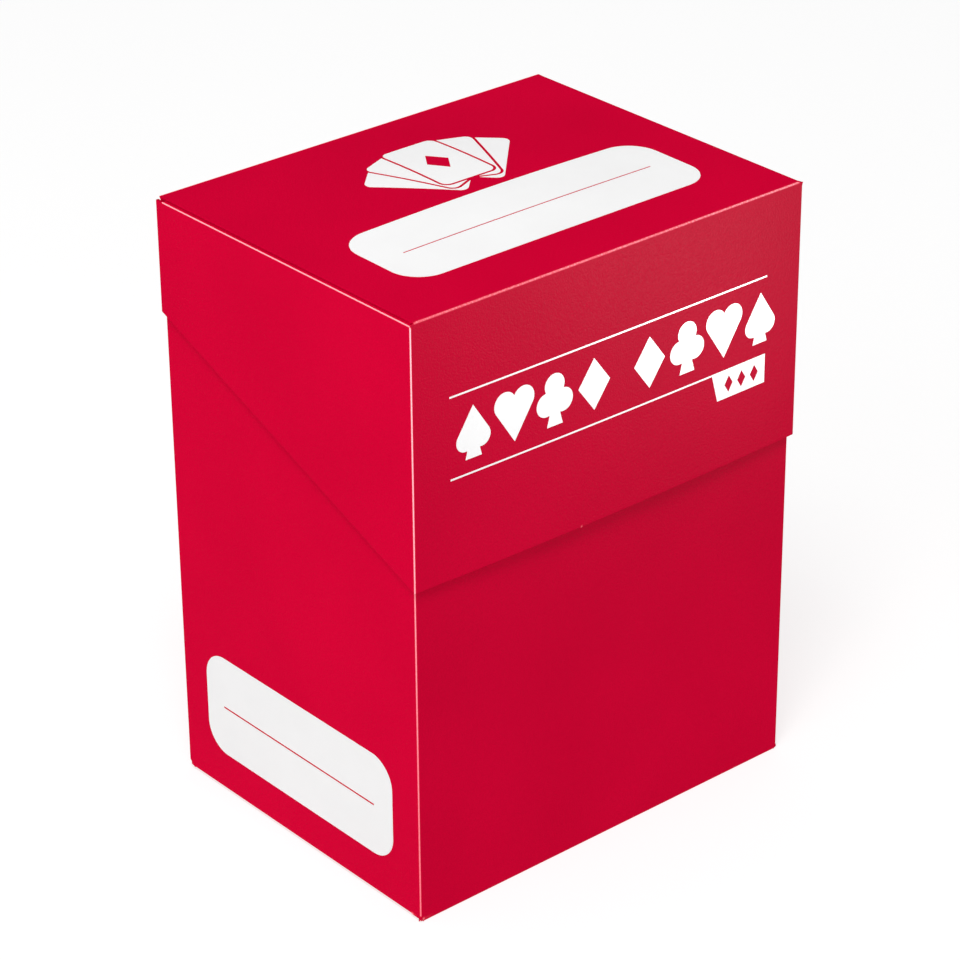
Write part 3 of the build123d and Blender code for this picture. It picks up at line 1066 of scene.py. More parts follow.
@dataclass
class Lid:
    """The lid: top, front, two sides and the tabs under the top."""

    box: Box
    bulges: Bulges
    shop: Workshop
    back_z: float = 78.0
    back_step: float = 0.05
    cut_drop: float = 0.06
    tab_drop: float = 0.35
    tab_reach: float = 15.0
    tab_front: float = 0.1
    tab_back: float = 1.45
    slant: float = 3.5
    taper: float = 0.2
    hinge_clear: float = 0.8
    head_line: float = 36.0
    edge_drop: float = -0.08
    sag: float = 0.12
    nick_x: float = -6.35
    nick_half: float = 0.16
    nick_depth: float = 0.1
    line_start: float = 55.0
    tab_line: Crease = Crease(0.82, 0.82, 0.095)

    def upright_line(self) -> Crease:
        """The line on a front corner's crease, which ends where the top corner is cut back."""
        return Crease(0.78, 1.0, 0.11, 0.15, (self.line_start, self.box.top_z - self.tab_drop - 0.05))

    def head_crease(self) -> Crease:
        """The line on the crease between top and front, which stops short of the corners."""
        return Crease(0.47, 0.6, 0.165, 0.8, (-self.head_line, self.head_line))

    def top(self) -> Piece:
        """The top, which ends just short of the hinge.

        Returns:
            The piece.
        """
        box = self.box
        fold = Edge(EdgeKind.FOLD, None, self.head_crease())
        step = (box.top_x - box.back_x) / self.taper
        panel = Panel(
            "lid_top",
            Face(1, 0, 2, 1, box.top_z),
            (box.lid_front_y, box.back_y - self.hinge_clear),
            lambda y: -box.top_x + np.clip(y - (box.back_y - self.taper), 0, self.taper) * step,
            lambda y: box.top_x - np.clip(y - (box.back_y - self.taper), 0, self.taper) * step,
            left=fold,
            right=BUTT_EDGE,
            bow=self.bulges.top,
            cells=(44, 48),
        )
        return self.shop.sheet(panel.build(), "lid", "lid_top_panel")

    def front(self) -> Piece:
        """The front, whose top corners are cut back and whose lower edge has a die-cut nick.

        Returns:
            The piece.
        """
        box = self.box
        inset = box.lid_side_x - box.top_x
        upright = Edge(EdgeKind.FOLD, (0.0, box.top_z - self.tab_drop), self.upright_line())
        head = Edge(EdgeKind.FOLD, (-box.top_x, box.top_x), self.head_crease())

        def lower(x: Array) -> Array:
            """The lower edge: the nominal line less a drop, a parabola of sag and the nick.

            The nick is depth exp(-(distance / half width) ** 4).

            Args:
                x: Places across the front.

            Returns:
                The edge's heights.
            """
            sag = self.sag * (1 - (x / box.lid_side_x) ** 2)
            nick = self.nick_depth * np.exp(-(((x - self.nick_x) / self.nick_half) ** 4))
            return box.lid_front_z - self.edge_drop - sag - nick

        panel = Panel(
            "lid_front",
            Face(0, 2, 1, -1, box.lid_front_y),
            (-box.lid_side_x, box.lid_side_x),
            lower,
            lambda x: box.top_z - np.clip(np.abs(x) - box.top_x, 0, inset) * self.tab_drop / inset,
            left=upright,
            right=upright,
            high=head,
            bow=self.bulges.front,
            lines_across=[*near(self.nick_x, 0.25), *near(self.nick_x, self.nick_half)],
            spots=[(self.nick_x, float(lower(np.array(self.nick_x))) + 0.1, 0.12, 0.62)],
            cells=(44, 32),
        )
        return self.shop.sheet(panel.build(), "lid", "lid_front_panel")

    def side(self, hand: Hand) -> Piece:
        """A side, with a lower edge that slants up to the back and the crease of its tab.

        Args:
            hand: Which side.

        Returns:
            The piece.
        """
        box = self.box
        back = box.back_y - self.back_step
        crease_z = box.top_z - self.tab_drop
        crease = (box.lid_front_y + self.tab_front, box.back_y - self.tab_back)
        slope = (self.back_z - box.lid_front_z) / (back - box.lid_front_y)
        panel = Panel(
            f"lid_{hand.word}_side",
            Face(1, 2, 0, hand.value, hand.value * box.lid_side_x),
            (box.lid_front_y, back),
            lambda y: box.lid_front_z + slope * (y - box.lid_front_y),
            lambda y: crease_z - self.cut_drop * (y > crease[1]),
            left=Edge(EdgeKind.FOLD, None, self.upright_line()),
            high=Edge(EdgeKind.FOLD, crease, replace(self.tab_line, span=crease)),
            lines_across=[*near(crease[1], 0.02)],
            cells=(36, 32),
        )
        return self.shop.sheet(panel.build(), "lid", f"lid_{hand.word}_side_panel")

    def top_tab(self, hand: Hand) -> Piece:
        """A side's tab, glued under the top and bulging with it, with slanted ends.

        Args:
            hand: Which side.

        Returns:
            The piece.
        """
        box = self.box
        inner = box.lid_side_x - self.tab_reach
        ends = sorted((hand.value * inner, hand.value * box.lid_side_x))
        slope = self.slant / self.tab_reach
        fold = Edge(EdgeKind.FOLD, None, self.tab_line)
        panel = Panel(
            f"lid_{hand.word}_tab",
            Face(0, 1, 2, 1, box.top_z - self.tab_drop),
            (ends[0], ends[1]),
            lambda x: box.lid_front_y + self.tab_front + slope * (box.lid_side_x - np.abs(x)),
            lambda x: box.back_y - self.tab_back - slope * (box.lid_side_x - np.abs(x)),
            left=fold if hand is Hand.LEFT else CUT_EDGE,
            right=fold if hand is Hand.RIGHT else CUT_EDGE,
            bow=self.bulges.top,
            cells=(14, 40),
        )
        return self.shop.sheet(panel.build(), "lid", f"lid_{hand.word}_top_tab")

    def build(self) -> list[Piece]:
        """Builds every panel of the lid.

        Returns:
            The pieces.
        """
        made = [self.top(), self.front()]
        for hand in Hand:
            made += [self.side(hand), self.top_tab(hand)]
        return made


@dataclass
class Hinge:
    """The creased web between the back panel and the lid's top."""

    box: Box
    bulges: Bulges
    shop: Workshop
    reach: float = 0.8
    radius: float = 0.12
    crease_thickness: float = 0.2
    groove: float = 0.3
    blend_reach: float = 0.6
    flare_half: float = 0.1
    gather: float = 0.35
    whitening: float = 0.7
    white_half: float = 0.16
    speckle: float = 0.1
    inside: float = 0.6
    rows: int = 41
    columns: int = 60

    def build(self) -> Piece:
        """Makes the web: a profile carried across the box.

        The web is as wide as the back below the crease and as the lid's top beyond it. Its outer
        face runs up the back, round a small quarter circle and along the top. Its distance s
        is counted from the crease. The inner face is the same profile moved in by the thickness, which
        falls from the sheet's to the crease's as a bell curve of s. The moves are along the bisector
        near the crease, so that the inner corner stays clean.

        Returns:
            The web.
        """
        box = self.box
        straight = self.reach - self.radius
        half = straight + self.radius * math.pi / 4
        # steps gather at the crease: s is the half length times a blend of an even step and its square
        even = np.linspace(-1, 1, self.rows)
        s = half * np.sign(even) * (self.gather * np.abs(even) + (1 - self.gather) * np.abs(even) ** 2)
        turn = np.clip(s / self.radius + math.pi / 4, 0, math.pi / 2)
        below = np.clip(-s - self.radius * math.pi / 4, 0, None)
        beyond = np.clip(s - self.radius * math.pi / 4, 0, None)
        y = -self.radius + self.radius * np.cos(turn) - beyond
        z = -self.radius + self.radius * np.sin(turn) - below
        depth = SHEET - (SHEET - self.crease_thickness) * np.exp(-((s / self.groove) ** 2))
        depth[[0, -1]] = SHEET
        # the inner profile: the outer one's own offset, with the corner's overlap squeezed out
        inner_y = np.minimum(y - depth * np.cos(turn), -depth)
        inner_z = np.minimum(z - depth * np.sin(turn), -depth)
        inner_y[s < 0] = -depth[s < 0]
        inner_z[s > 0] = -depth[s > 0]
        across = np.linspace(-1, 1, self.columns + 1)
        flare = np.clip((s + self.flare_half) / (2 * self.flare_half), 0, 1)
        half_width = box.back_x + (box.top_x - box.back_x) * flare
        outer = self._sweep(across, half_width, y, z)
        inner = self._sweep(across, half_width, inner_y, inner_z)
        white = self.whitening * np.exp(-((s / self.white_half) ** 4))
        marks = np.zeros(outer.shape)
        marks[..., 0] = white[None, :]
        marks[..., 1] = self.speckle
        inside = marks * np.array([self.inside, 1.0, 1.0])
        vertices, faces = shell(outer, inner, True)
        both = np.concatenate([marks.reshape(-1, 3), inside.reshape(-1, 3)])
        made = write_mesh("hinge_web", vertices, faces, both)
        smooth(made)
        self.shop.sheet(made, "")
        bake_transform(made)
        return made

    def _sweep(self, across: Array, half_width: Array, y: Array, z: Array) -> Array:
        """Carries a profile, given from the hinge's axis, across the box, on the panels' bulges.

        Args:
            across: Even steps from -1 to 1 across the box.
            half_width: Half width at each point of the profile.
            y: The profile's y from the axis.
            z: The profile's z from the axis.

        Returns:
            Points as steps across by profile points by 3.
        """
        points = np.zeros((len(across), len(y), 3))
        points[..., 0] = across[:, None] * half_width
        points[..., 1] = self.box.back_y + y
        points[..., 2] = self.box.top_z + z
        unbowed = np.copy(points)
        points[..., 1] += self.bulges.back(unbowed) * (np.abs(y) <= SHEET + 1e-6) * (z < -self.radius)
        points[..., 2] += self.bulges.top(unbowed) * (np.abs(z) <= SHEET + 1e-6) * (y < -self.radius)
        return points


# ---------------------------------------------------------------- the divider


@dataclass
class Divider:
    """The loose plate that stands across the well, with an index tab on its top edge."""

    box: Box
    shop: Workshop
    shoulder_z: float = 91.0
    corner: float = 3.0
    tab_left: float = -29.0
    tab_right: float = -7.0
    tab_run: float = 3.4

    def rounding(self, x: Array) -> Array:
        """Height that a round corner takes off at x: r - sqrt(r^2 - (distance past its start)^2)."""
        past = np.clip(np.abs(x) - (self.box.divider_x - self.corner), 0, self.corner)
        return self.corner - np.sqrt(np.maximum(self.corner**2 - past**2, 0))

    def head(self, x: Array) -> Array:
        """The top edge: the shoulder with round corners, and a smooth step up and down for the tab.

        Args:
            x: Places across.

        Returns:
            The heights.
        """
        rise = np.clip((x - self.tab_left) / self.tab_run, 0, 1)
        fall = np.clip((self.tab_right - x) / self.tab_run, 0, 1)
        share = rise**2 * (3 - 2 * rise) * fall**2 * (3 - 2 * fall)
        return self.shoulder_z - self.rounding(x) + (self.box.divider_z[1] - self.shoulder_z) * share

    def build(self) -> Piece:
        """Makes the divider.

        Returns:
            The piece.
        """
        box = self.box
        corner = box.divider_x - self.corner + self.corner * np.sin(np.linspace(0, 1.5, 16))
        steps = np.linspace(0, self.tab_run, 15)
        panel = Panel(
            "divider_card",
            Face(0, 2, 1, -1, box.divider_y),
            (-box.divider_x, box.divider_x),
            lambda x: box.divider_z[0] + self.rounding(x),
            self.head,
            lines_across=[*corner, *(-corner), *(self.tab_left + steps), *(self.tab_right - steps)],
            cells=(30, 40),
        )
        return self.shop.loose(panel.build(), "divider", "card_divider")


# ---------------------------------------------------------------- print


Shape = Callable[[Array, Array], Array]


def polygon(points: Sequence[tuple[float, float]]) -> Shape:
    """A convex polygon, anticlockwise, as a function that is under 0 inside: its farthest half plane.

    Args:
        points: The corners.

    Returns:
        The shape.
    """
    corners = np.array(points, float)
    after = np.roll(corners, -1, axis=0)
    run = after - corners
    normal = np.stack([run[:, 1], -run[:, 0]], axis=1) / np.linalg.norm(run, axis=1)[:, None]
    offset = (normal * corners).sum(axis=1)
    return lambda x, y: (x[..., None] * normal[:, 0] + y[..., None] * normal[:, 1] - offset).max(axis=-1)


def disc(x0: float, y0: float, radius: float) -> Shape:
    """A disc, as a function that is under 0 inside: distance from its centre less its radius."""
    return lambda x, y: np.hypot(x - x0, y - y0) - radius


def union(*shapes: Shape) -> Shape:
    """What lies in any of the shapes: the least of their values."""
    return lambda x, y: np.minimum.reduce([shape(x, y) for shape in shapes])


def moved(shape: Shape, x0: float, y0: float, degrees: float = 0.0) -> Shape:
    """A shape turned about the origin and then moved to x0, y0."""
    cos, sin = math.cos(math.radians(degrees)), math.sin(math.radians(degrees))
    return lambda x, y: shape((x - x0) * cos + (y - y0) * sin, (y - y0) * cos - (x - x0) * sin)


def rounded_card(width: float, height: float, radius: float) -> Shape:
    """A rectangle with round corners, standing on the middle of its foot.

    Args:
        width: Its width.
        height: Its height.
        radius: The corners' radius.

    Returns:
        The shape.
    """

    def value(x: Array, y: Array) -> Array:
        """The distance outside the rectangle shrunk by the radius, less the radius.

        Args:
            x: Places across.
            y: Places up.

        Returns:
            The distances, under 0 inside.
        """
        side = np.abs(x) - width / 2 + radius
        end = np.abs(y - height / 2) - height / 2 + radius
        outside = np.hypot(np.maximum(side, 0), np.maximum(end, 0))
        return outside + np.minimum(np.maximum(side, end), 0) - radius

    return value


def reach(shape: Shape, pole: tuple[float, float], angles: Array, longest: float = 40.0) -> Array:
    """How far a shape reaches from a pole in each direction, found by halving.

    The shape is star-shaped about the pole, so a ray is inside up to one distance and outside after it.

    Args:
        shape: The shape.
        pole: A point in it that sees all of it.
        angles: Directions in radians.
        longest: A distance that is outside in every direction.

    Returns:
        The distances.
    """
    low = np.zeros(len(angles))
    high = np.full(len(angles), longest)
    for _ in range(HALVINGS):
        middle = (low + high) / 2
        inside = shape(pole[0] + middle * np.cos(angles), pole[1] + middle * np.sin(angles)) < 0
        low = np.where(inside, middle, low)
        high = np.where(inside, high, middle)
    return (low + high) / 2


def around(count: int, pole: tuple[float, float], corners: Sequence[tuple[float, float]] = ()) -> Array:
    """Even directions round a pole, and the exact ones of the given corners, as a closed loop.

    Args:
        count: Even directions.
        pole: The centre of the directions.
        corners: Points that get a direction each.

    Returns:
        The directions in radians, in order.
    """
    even = np.linspace(-math.pi, math.pi, count + 1)[:-1]
    exact = np.array([math.atan2(y - pole[1], x - pole[0]) for x, y in corners])
    if len(exact):
        gap = np.abs((even[:, None] - exact[None, :] + math.pi) % (2 * math.pi) - math.pi).min(axis=1)
        even = even[gap > LEAST_TURN]
    turns = np.unique(np.round(np.concatenate([even, exact]), 9))
    return np.append(turns, turns[0])


def polar_patch(pole: tuple[float, float], angles: Array, inner: Array, outer: Array, steps: int) -> Array:
    """A patch between two radii: pole + radius (cos a, sin a), the radius going evenly between them.

    Args:
        pole: The centre of the directions.
        angles: The directions.
        inner: The radius in each direction where the patch starts.
        outer: The radius where it ends.
        steps: Cells between the two.

    Returns:
        Points as directions by steps by 2.
    """
    share = np.linspace(0, 1, steps + 1)[None, :]
    radius = inner[:, None] + share * (outer - inner)[:, None]
    x = pole[0] + radius * np.cos(angles)[:, None]
    return np.stack([x, pole[1] + radius * np.sin(angles)[:, None]], axis=-1)


def film(name: str, face: Face, bow: Bow, patches: Sequence[Array]) -> Piece:
    """A thin closed film of print that follows a panel.

    Args:
        name: The piece's name.
        face: The panel's face.
        bow: The panel's bulge.
        patches: Grids of points on the face, as rows by columns by 2.

    Returns:
        The new object.
    """
    vertices, faces, start = [], [], 0
    for patch in patches:
        points = face.points(patch[..., 0], patch[..., 1], np.full(patch.shape[:2], INK), bow)
        quads = grid_faces(*patch.shape[:2], start)
        corner = points.reshape(-1, 3)[quads - start]
        normal = np.cross(corner[:, 2] - corner[:, 0], corner[:, 3] - corner[:, 1])[:, face.out].sum()
        vertices.append(points.reshape(-1, 3))
        faces.append(quads if normal * face.sign > 0 else quads[:, ::-1])
        start += len(vertices[-1])
    made = write_mesh(name, np.concatenate(vertices), np.concatenate(faces))
    work = bmesh.new()
    work.from_mesh(made.data)
    bmesh.ops.remove_doubles(work, verts=work.verts, dist=WELD * METRES)
    bmesh.ops.dissolve_degenerate(work, edges=work.edges, dist=SLIVER * METRES)
    work.to_mesh(made.data)
    work.free()
    thickness = made.modifiers.new("ink thickness", "SOLIDIFY")
    thickness.thickness = (INK + INK_SINK) * METRES
    thickness.offset = -1
    solid = bpy.data.meshes.new_from_object(made.evaluated_get(bpy.context.evaluated_depsgraph_get()))
    made.modifiers.clear()
    made.data = solid
    smooth(made)
    return made


@dataclass(frozen=True)
class WritingField:
    """A rounded white field with one writing line left clear in it."""

    centre: tuple[float, float]
    size: tuple[float, float]
    line_centre: tuple[float, float]
    line: tuple[float, float]
    corner: float = 5.0
    pitch: float = 1.5
    steps: int = 9

    def outline(self) -> Array:
        """The field's rim as a closed loop, with points level with the ends of the line.

        It is four quarter circles joined by straights, in even steps. Where the loop crosses a level
        of the line's rectangle, a point is put in, so that the patch inside meets the line's corners.

        Returns:
            The loop's points, the first one again at the end.
        """
        half = np.array(self.size) / 2
        signs = np.array([(1, 1), (-1, 1), (-1, -1), (1, -1)])
        angle = (np.arange(4)[:, None] + np.linspace(0, 1, 15)[None, :]) * math.pi / 2
        arcs = signs[:, None, :] * (half - self.corner)
        arcs = arcs + self.corner * np.stack([np.cos(angle), np.sin(angle)], axis=-1)
        corners = np.concatenate([arcs.reshape(-1, 2), arcs[0, :1]]) + np.array(self.centre)
        length = np.concatenate([[0], np.cumsum(np.linalg.norm(np.diff(corners, axis=0), axis=1))])
        crossings = [np.arange(0, length[-1], self.pitch)]
        for axis in (0, 1):
            for end in (-0.5, 0.5):
                past = corners[:, axis] - (self.line_centre[axis] + end * self.line[axis])
                first = np.flatnonzero(past[:-1] * past[1:] < 0)
                share = past[first] / (past[first] - past[first + 1])
                crossings.append(length[first] + share * (length[first + 1] - length[first]))
        places = np.unique(np.round(np.concatenate([length, *crossings]), 4))
        return np.stack([np.interp(places, length, corners[:, axis]) for axis in (0, 1)], axis=-1)

    def patch(self) -> Array:
        """The field as a ring from the line to the rim.

        Each rim point is joined to the nearest point of the line's rectangle, and the patch goes
        evenly between the two.

        Returns:
            Points as rim points by steps by 2.
        """
        rim = self.outline()
        half = np.array(self.line) / 2
        middle = np.array(self.line_centre)
        inner = np.clip(rim, middle - half, middle + half)
        share = np.linspace(0, 1, self.steps + 1)[None, :, None]
        return inner[:, None, :] + share * (rim - inner)[:, None, :]


@dataclass(frozen=True)
class Pips:
    """The four card pips, each a star-shaped outline about a pole, in units of its own height."""

    height: float = 8.0
    samples: int = 220
    steps: int = 3

    def _teardrop(self, lobe_x: float, lobe_z: float, radius: float, tip_z: float) -> Shape:
        """The hull of a round lobe and a tip on the middle line, as a disc and a triangle.

        Args:
            lobe_x: The lobe's centre across.
            lobe_z: The lobe's centre up.
            radius: The lobe's radius.
            tip_z: The tip's height.

        Returns:
            The shape.
        """
        span = math.hypot(lobe_x, lobe_z - tip_z)
        towards = math.atan2(tip_z - lobe_z, -lobe_x)
        spread = math.acos(radius / span)
        turns = (towards - spread, towards + spread)
        touch = [(lobe_x + radius * math.cos(turn), lobe_z + radius * math.sin(turn)) for turn in turns]
        corners = [(0.0, tip_z), *touch]
        area = sum(a[0] * b[1] - b[0] * a[1] for a, b in zip(corners, corners[1:] + corners[:1]))
        return union(disc(lobe_x, lobe_z, radius), polygon(corners if area > 0 else corners[::-1]))

    def _heart_shape(self, h: float) -> Shape:
        """Two teardrops that share their tip, each a lobe of radius 0.24 h set 0.21 h off the middle.

        Args:
            h: Its height.

        Returns:
            The shape.
        """
        lobe_z = h / 2 - 0.24 * h
        lobes = [self._teardrop(side * 0.21 * h, lobe_z, 0.24 * h, -h / 2) for side in (-1, 1)]
        return union(*lobes)

    def _stem_shape(self, h: float) -> Shape:
        """The flared foot: 0.18 h half wide at the floor and 0.045 h half wide at the middle."""
        return polygon([(-0.18 * h, -h / 2), (0.18 * h, -h / 2), (0.045 * h, 0.0), (-0.045 * h, 0.0)])

    def _patch(
        self, shape: Shape, pole: tuple[float, float], corners: Sequence[tuple[float, float]]
    ) -> Array:
        """A patch from the pole to the outline.

        Args:
            shape: The outline.
            pole: A point that sees all of it.
            corners: Its sharp corners.

        Returns:
            The patch.
        """
        angles = around(self.samples, pole, corners)
        far = reach(shape, pole, angles)
        return polar_patch(pole, angles, 0 * far, far, self.steps)

    def diamond(self) -> Array:
        """A diamond, 0.74 as wide as it is high.

        Returns:
            The patch.
        """
        h = self.height
        corners = [(0.37 * h, 0.0), (0.0, h / 2), (-0.37 * h, 0.0), (0.0, -h / 2)]
        return self._patch(polygon(corners), (0.0, 0.0), corners)

    def heart(self) -> Array:
        """A heart, point down.

        Returns:
            The patch.
        """
        h = self.height
        pole = (0.0, h / 2 - 0.24 * h - 0.09 * h)
        return self._patch(self._heart_shape(h), pole, [(0.0, -h / 2), (0.0, h / 2)])

    def spade(self) -> Array:
        """A heart of 0.84 the height, turned point up, on a stem.

        Returns:
            The patch.
        """
        h = self.height
        leaf = 0.84 * h
        lift = (h - leaf) / 2
        shape = union(moved(self._heart_shape(leaf), 0.0, lift, 180.0), self._stem_shape(h))
        pole = (0.0, lift - (leaf / 2 - 0.24 * leaf) + 0.1 * leaf)
        return self._patch(shape, pole, [(0.0, h / 2), (0.18 * h, -h / 2), (-0.18 * h, -h / 2)])

    def club(self) -> Array:
        """Three discs of radius 0.225 h at a spread of 0.22 h, on a stem.

        Returns:
            The patch.
        """
        h = self.height
        middle = h / 2 - 0.445 * h
        turns = [math.radians(turn) for turn in (90, 210, 330)]
        leaves = [disc(0.22 * h * math.cos(t), middle + 0.22 * h * math.sin(t), 0.225 * h) for t in turns]
        half, foot = 0.045 * h, -0.02 * h
        neck = polygon([(-half, foot), (half, foot), (half, middle), (-half, middle)])
        shape = union(*leaves, self._stem_shape(h), neck)
        corners = [(0.18 * h, -h / 2), (-0.18 * h, -h / 2)]
        return self._patch(shape, (0.0, middle - 0.001 * h), corners)


@dataclass
class CasePrint:
    """The writing field on the case's left side."""

    box: Box
    shop: Workshop
    ink: WritingField = WritingField((0.315, 15.505), (44.35, 17.09), (0.4, 15.34), (36.0, 0.31), corner=4.5)

    def build(self) -> Piece:
        """Makes the film.

        Returns:
            The piece.
        """
        face = Face(1, 2, 0, -1, -self.box.case_side_x)
        made = film("side_label", face, flat, [self.ink.patch()])
        return self.shop.print(made, "case", "side_writing_field")


@dataclass
class LidPrint:
    """The print on the lid: a writing field and an emblem on top, rules, pips and a badge in front."""

    box: Box
    bulges: Bulges
    shop: Workshop
    ink: WritingField = WritingField((0.2, -10.2), (56.2, 17.4), (0.4, -10.3), (46.4, 0.25))
    rule: tuple[float, float] = (59.96, 0.26)
    rule_x: float = -0.14
    rule_zs: tuple[float, float] = (70.54, 83.05)
    row_z: float = 76.75
    row_start: float = -26.0
    pitch: float = 7.35
    row_gap: float = 3.2
    badge_top: tuple[float, float] = (19.04, 29.84)
    badge_foot: float = 20.19
    badge_z: tuple[float, float] = (66.06, 70.41)
    badge_pip: tuple[float, float] = (1.7, 2.7)
    badge_xs: tuple[float, float, float] = (22.44, 25.04, 27.64)
    fan_centre: tuple[float, float] = (0.75, 2.9)
    card: tuple[float, float] = (9.6, 15.0)
    card_corner: float = 1.2
    fan_step: float = 22.0
    fan_gap: float = 0.45
    fan_pip: tuple[float, float] = (4.0, 5.8)
    pips: Pips = field(default_factory=Pips)

    def _top_face(self) -> Face:
        """The lid top's face."""
        return Face(0, 1, 2, 1, self.box.top_z)

    def _front_face(self) -> Face:
        """The lid front's face."""
        return Face(0, 2, 1, -1, self.box.lid_front_y)

    def label(self) -> Piece:
        """The writing field on top."""
        made = film("top_label", self._top_face(), self.bulges.top, [self.ink.patch()])
        return self.shop.print(made, "lid", "top_writing_field")

    def _card(self, turn: float, margin: float = 0.0) -> Shape:
        """One card of the fan, turned about the middle of its foot and grown by a margin all round.

        Args:
            turn: Degrees anticlockwise.
            margin: How much it is grown.

        Returns:
            The shape.
        """
        width, height = self.card
        card = rounded_card(width + 2 * margin, height + 2 * margin, self.card_corner + margin)
        return moved(moved(card, 0.0, -margin), 0.0, 0.0, turn)

    def emblem(self) -> Piece:
        """The fan: the middle card with a diamond left clear, and a slice of each card behind it.

        A slice lies between two radii from a pole near the common foot: the reach of the cards in
        front, grown by the gap, and the reach of the card itself.

        Returns:
            The piece.
        """
        middle = (0.0, self.card[1] / 2)
        half = (self.fan_pip[0] / 2, self.fan_pip[1] / 2)
        corners = [
            (half[0], middle[1]),
            (0.0, middle[1] + half[1]),
            (-half[0], middle[1]),
            (0.0, middle[1] - half[1]),
        ]
        angles = around(160, middle, corners)
        clear = reach(polygon(corners), middle, angles)
        patches = [polar_patch(middle, angles, clear, reach(self._card(0.0), middle, angles), 5)]
        pole = (0.0, 1.0)
        fine = np.linspace(-math.pi, math.pi, 3601) + math.pi / 2
        for side in (-1, 1):
            for place in (1, 2):
                turn = side * place * self.fan_step
                front = [self._card(0.0, self.fan_gap)]
                front += [self._card(side * self.fan_step, self.fan_gap)] if place == 2 else []
                cover = reach(union(*front), pole, fine)
                far = reach(self._card(turn), pole, fine)
                seen = np.flatnonzero(far > cover + 0.02)
                runs = np.split(seen, np.flatnonzero(np.diff(seen) > 1) + 1)
                run = max(runs, key=len)
                pick = np.unique(np.linspace(run[0], run[-1], 90).round().astype(int))
                patches.append(polar_patch(pole, fine[pick], cover[pick], far[pick], 8))
        patches = [patch + np.array(self.fan_centre) for patch in patches]
        made = film("top_fan_emblem", self._top_face(), self.bulges.top, patches)
        return self.shop.print(made, "lid", "top_emblem")

    def rules(self) -> Piece:
        """The two fine lines across the front: strips of even cells.

        Returns:
            The piece.
        """
        x = self.rule_x + np.linspace(-0.5, 0.5, 49)[:, None] * self.rule[0]
        across = np.linspace(-0.5, 0.5, 3)[None, :] * self.rule[1]
        strips = []
        for place in self.rule_zs:
            strips.append(np.stack(np.broadcast_arrays(x, place + across), axis=-1))
        made = film("front_lines", self._front_face(), self.bulges.front, strips)
        return self.shop.print(made, "lid", "front_rules")

    def pip_row(self) -> Piece:
        """Eight card pips between the lines, four and four with a wider space in the middle.

        Returns:
            The piece.
        """
        pips = self.pips
        half = [pips.spade, pips.heart, pips.club, pips.diamond]
        patches = []
        for place, pip in enumerate(half + half[::-1]):
            x = self.row_start + place * self.pitch + (self.row_gap if place >= len(half) else 0.0)
            patches.append(pip() + np.array([x, self.row_z]))
        made = film("front_pips", self._front_face(), self.bulges.front, patches)
        return self.shop.print(made, "lid", "front_pip_row")

    def badge(self) -> Piece:
        """The badge under the lower line, as three cells with a diamond left clear in each.

        Each cell lies between the diamond's reach and the cell's own from the diamond's middle. All
        share one set of directions, even about the upright, so that neighbours meet point to point.

        Returns:
            The piece.
        """
        low, high = self.badge_z
        middle = (low + high) / 2
        half = (self.badge_pip[0] / 2, self.badge_pip[1] / 2)
        step = (self.badge_xs[1] - self.badge_xs[0]) / 2
        bounds = [None, self.badge_xs[0] + step, self.badge_xs[1] + step, self.badge_top[1]]
        cells = []
        for place, x in enumerate(self.badge_xs):
            left = bounds[place]
            foot = self.badge_foot if left is None else left
            head = self.badge_top[0] if left is None else left
            right = bounds[place + 1]
            below = [(foot - x, low - middle), (right - x, low - middle)]
            cells.append(below + [(right - x, high - middle), (head - x, high - middle)])
        pip = [(half[0], 0.0), (0.0, half[1]), (-half[0], 0.0), (0.0, -half[1])]
        corners = [corner for cell in cells for corner in cell] + pip
        mirrored = corners + [(-x, y) for x, y in corners]
        angles = around(72, (0.0, 0.0), mirrored)
        inner = reach(polygon(pip), (0.0, 0.0), angles)
        patches = []
        for x, cell in zip(self.badge_xs, cells):
            outer = reach(polygon(cell), (0.0, 0.0), angles)
            patches.append(polar_patch((x, middle), angles, inner, outer, 3))
        made = film("front_badge_print", self._front_face(), self.bulges.front, patches)
        return self.shop.print(made, "lid", "front_badge")

    def build(self) -> list[Piece]:
        """Makes every print on the lid.

        Returns:
            The pieces.
        """
        return [self.label(), self.emblem(), self.rules(), self.pip_row(), self.badge()]


# ---------------------------------------------------------------- the studio


@dataclass(frozen=True)
class SoftLight:
    """A square area light that faces a point, with its size and power."""

    name: str
    place: tuple[float, float, float]
    size: float
    power: float
    aim: tuple[float, float, float] = (0.0, 0.0, 0.05)
    diffuse: bool = True
    glossy: bool = True

    def build(self) -> Piece:
        """Makes the light.

        Returns:
            The light's object.
        """
        data = bpy.data.lights.new(self.name, "AREA")
        data.shape = "SQUARE"
        data.size = self.size
        data.energy = self.power
        made = bpy.data.objects.new(self.name, data)
        made.location = self.place
        towards = Vector(self.aim) - Vector(self.place)
        made.rotation_euler = towards.to_track_quat("-Z", "Y").to_euler()
        made.visible_camera = False
        made.visible_diffuse = self.diffuse
        made.visible_glossy = self.glossy
        bpy.context.scene.collection.objects.link(made)
        return made


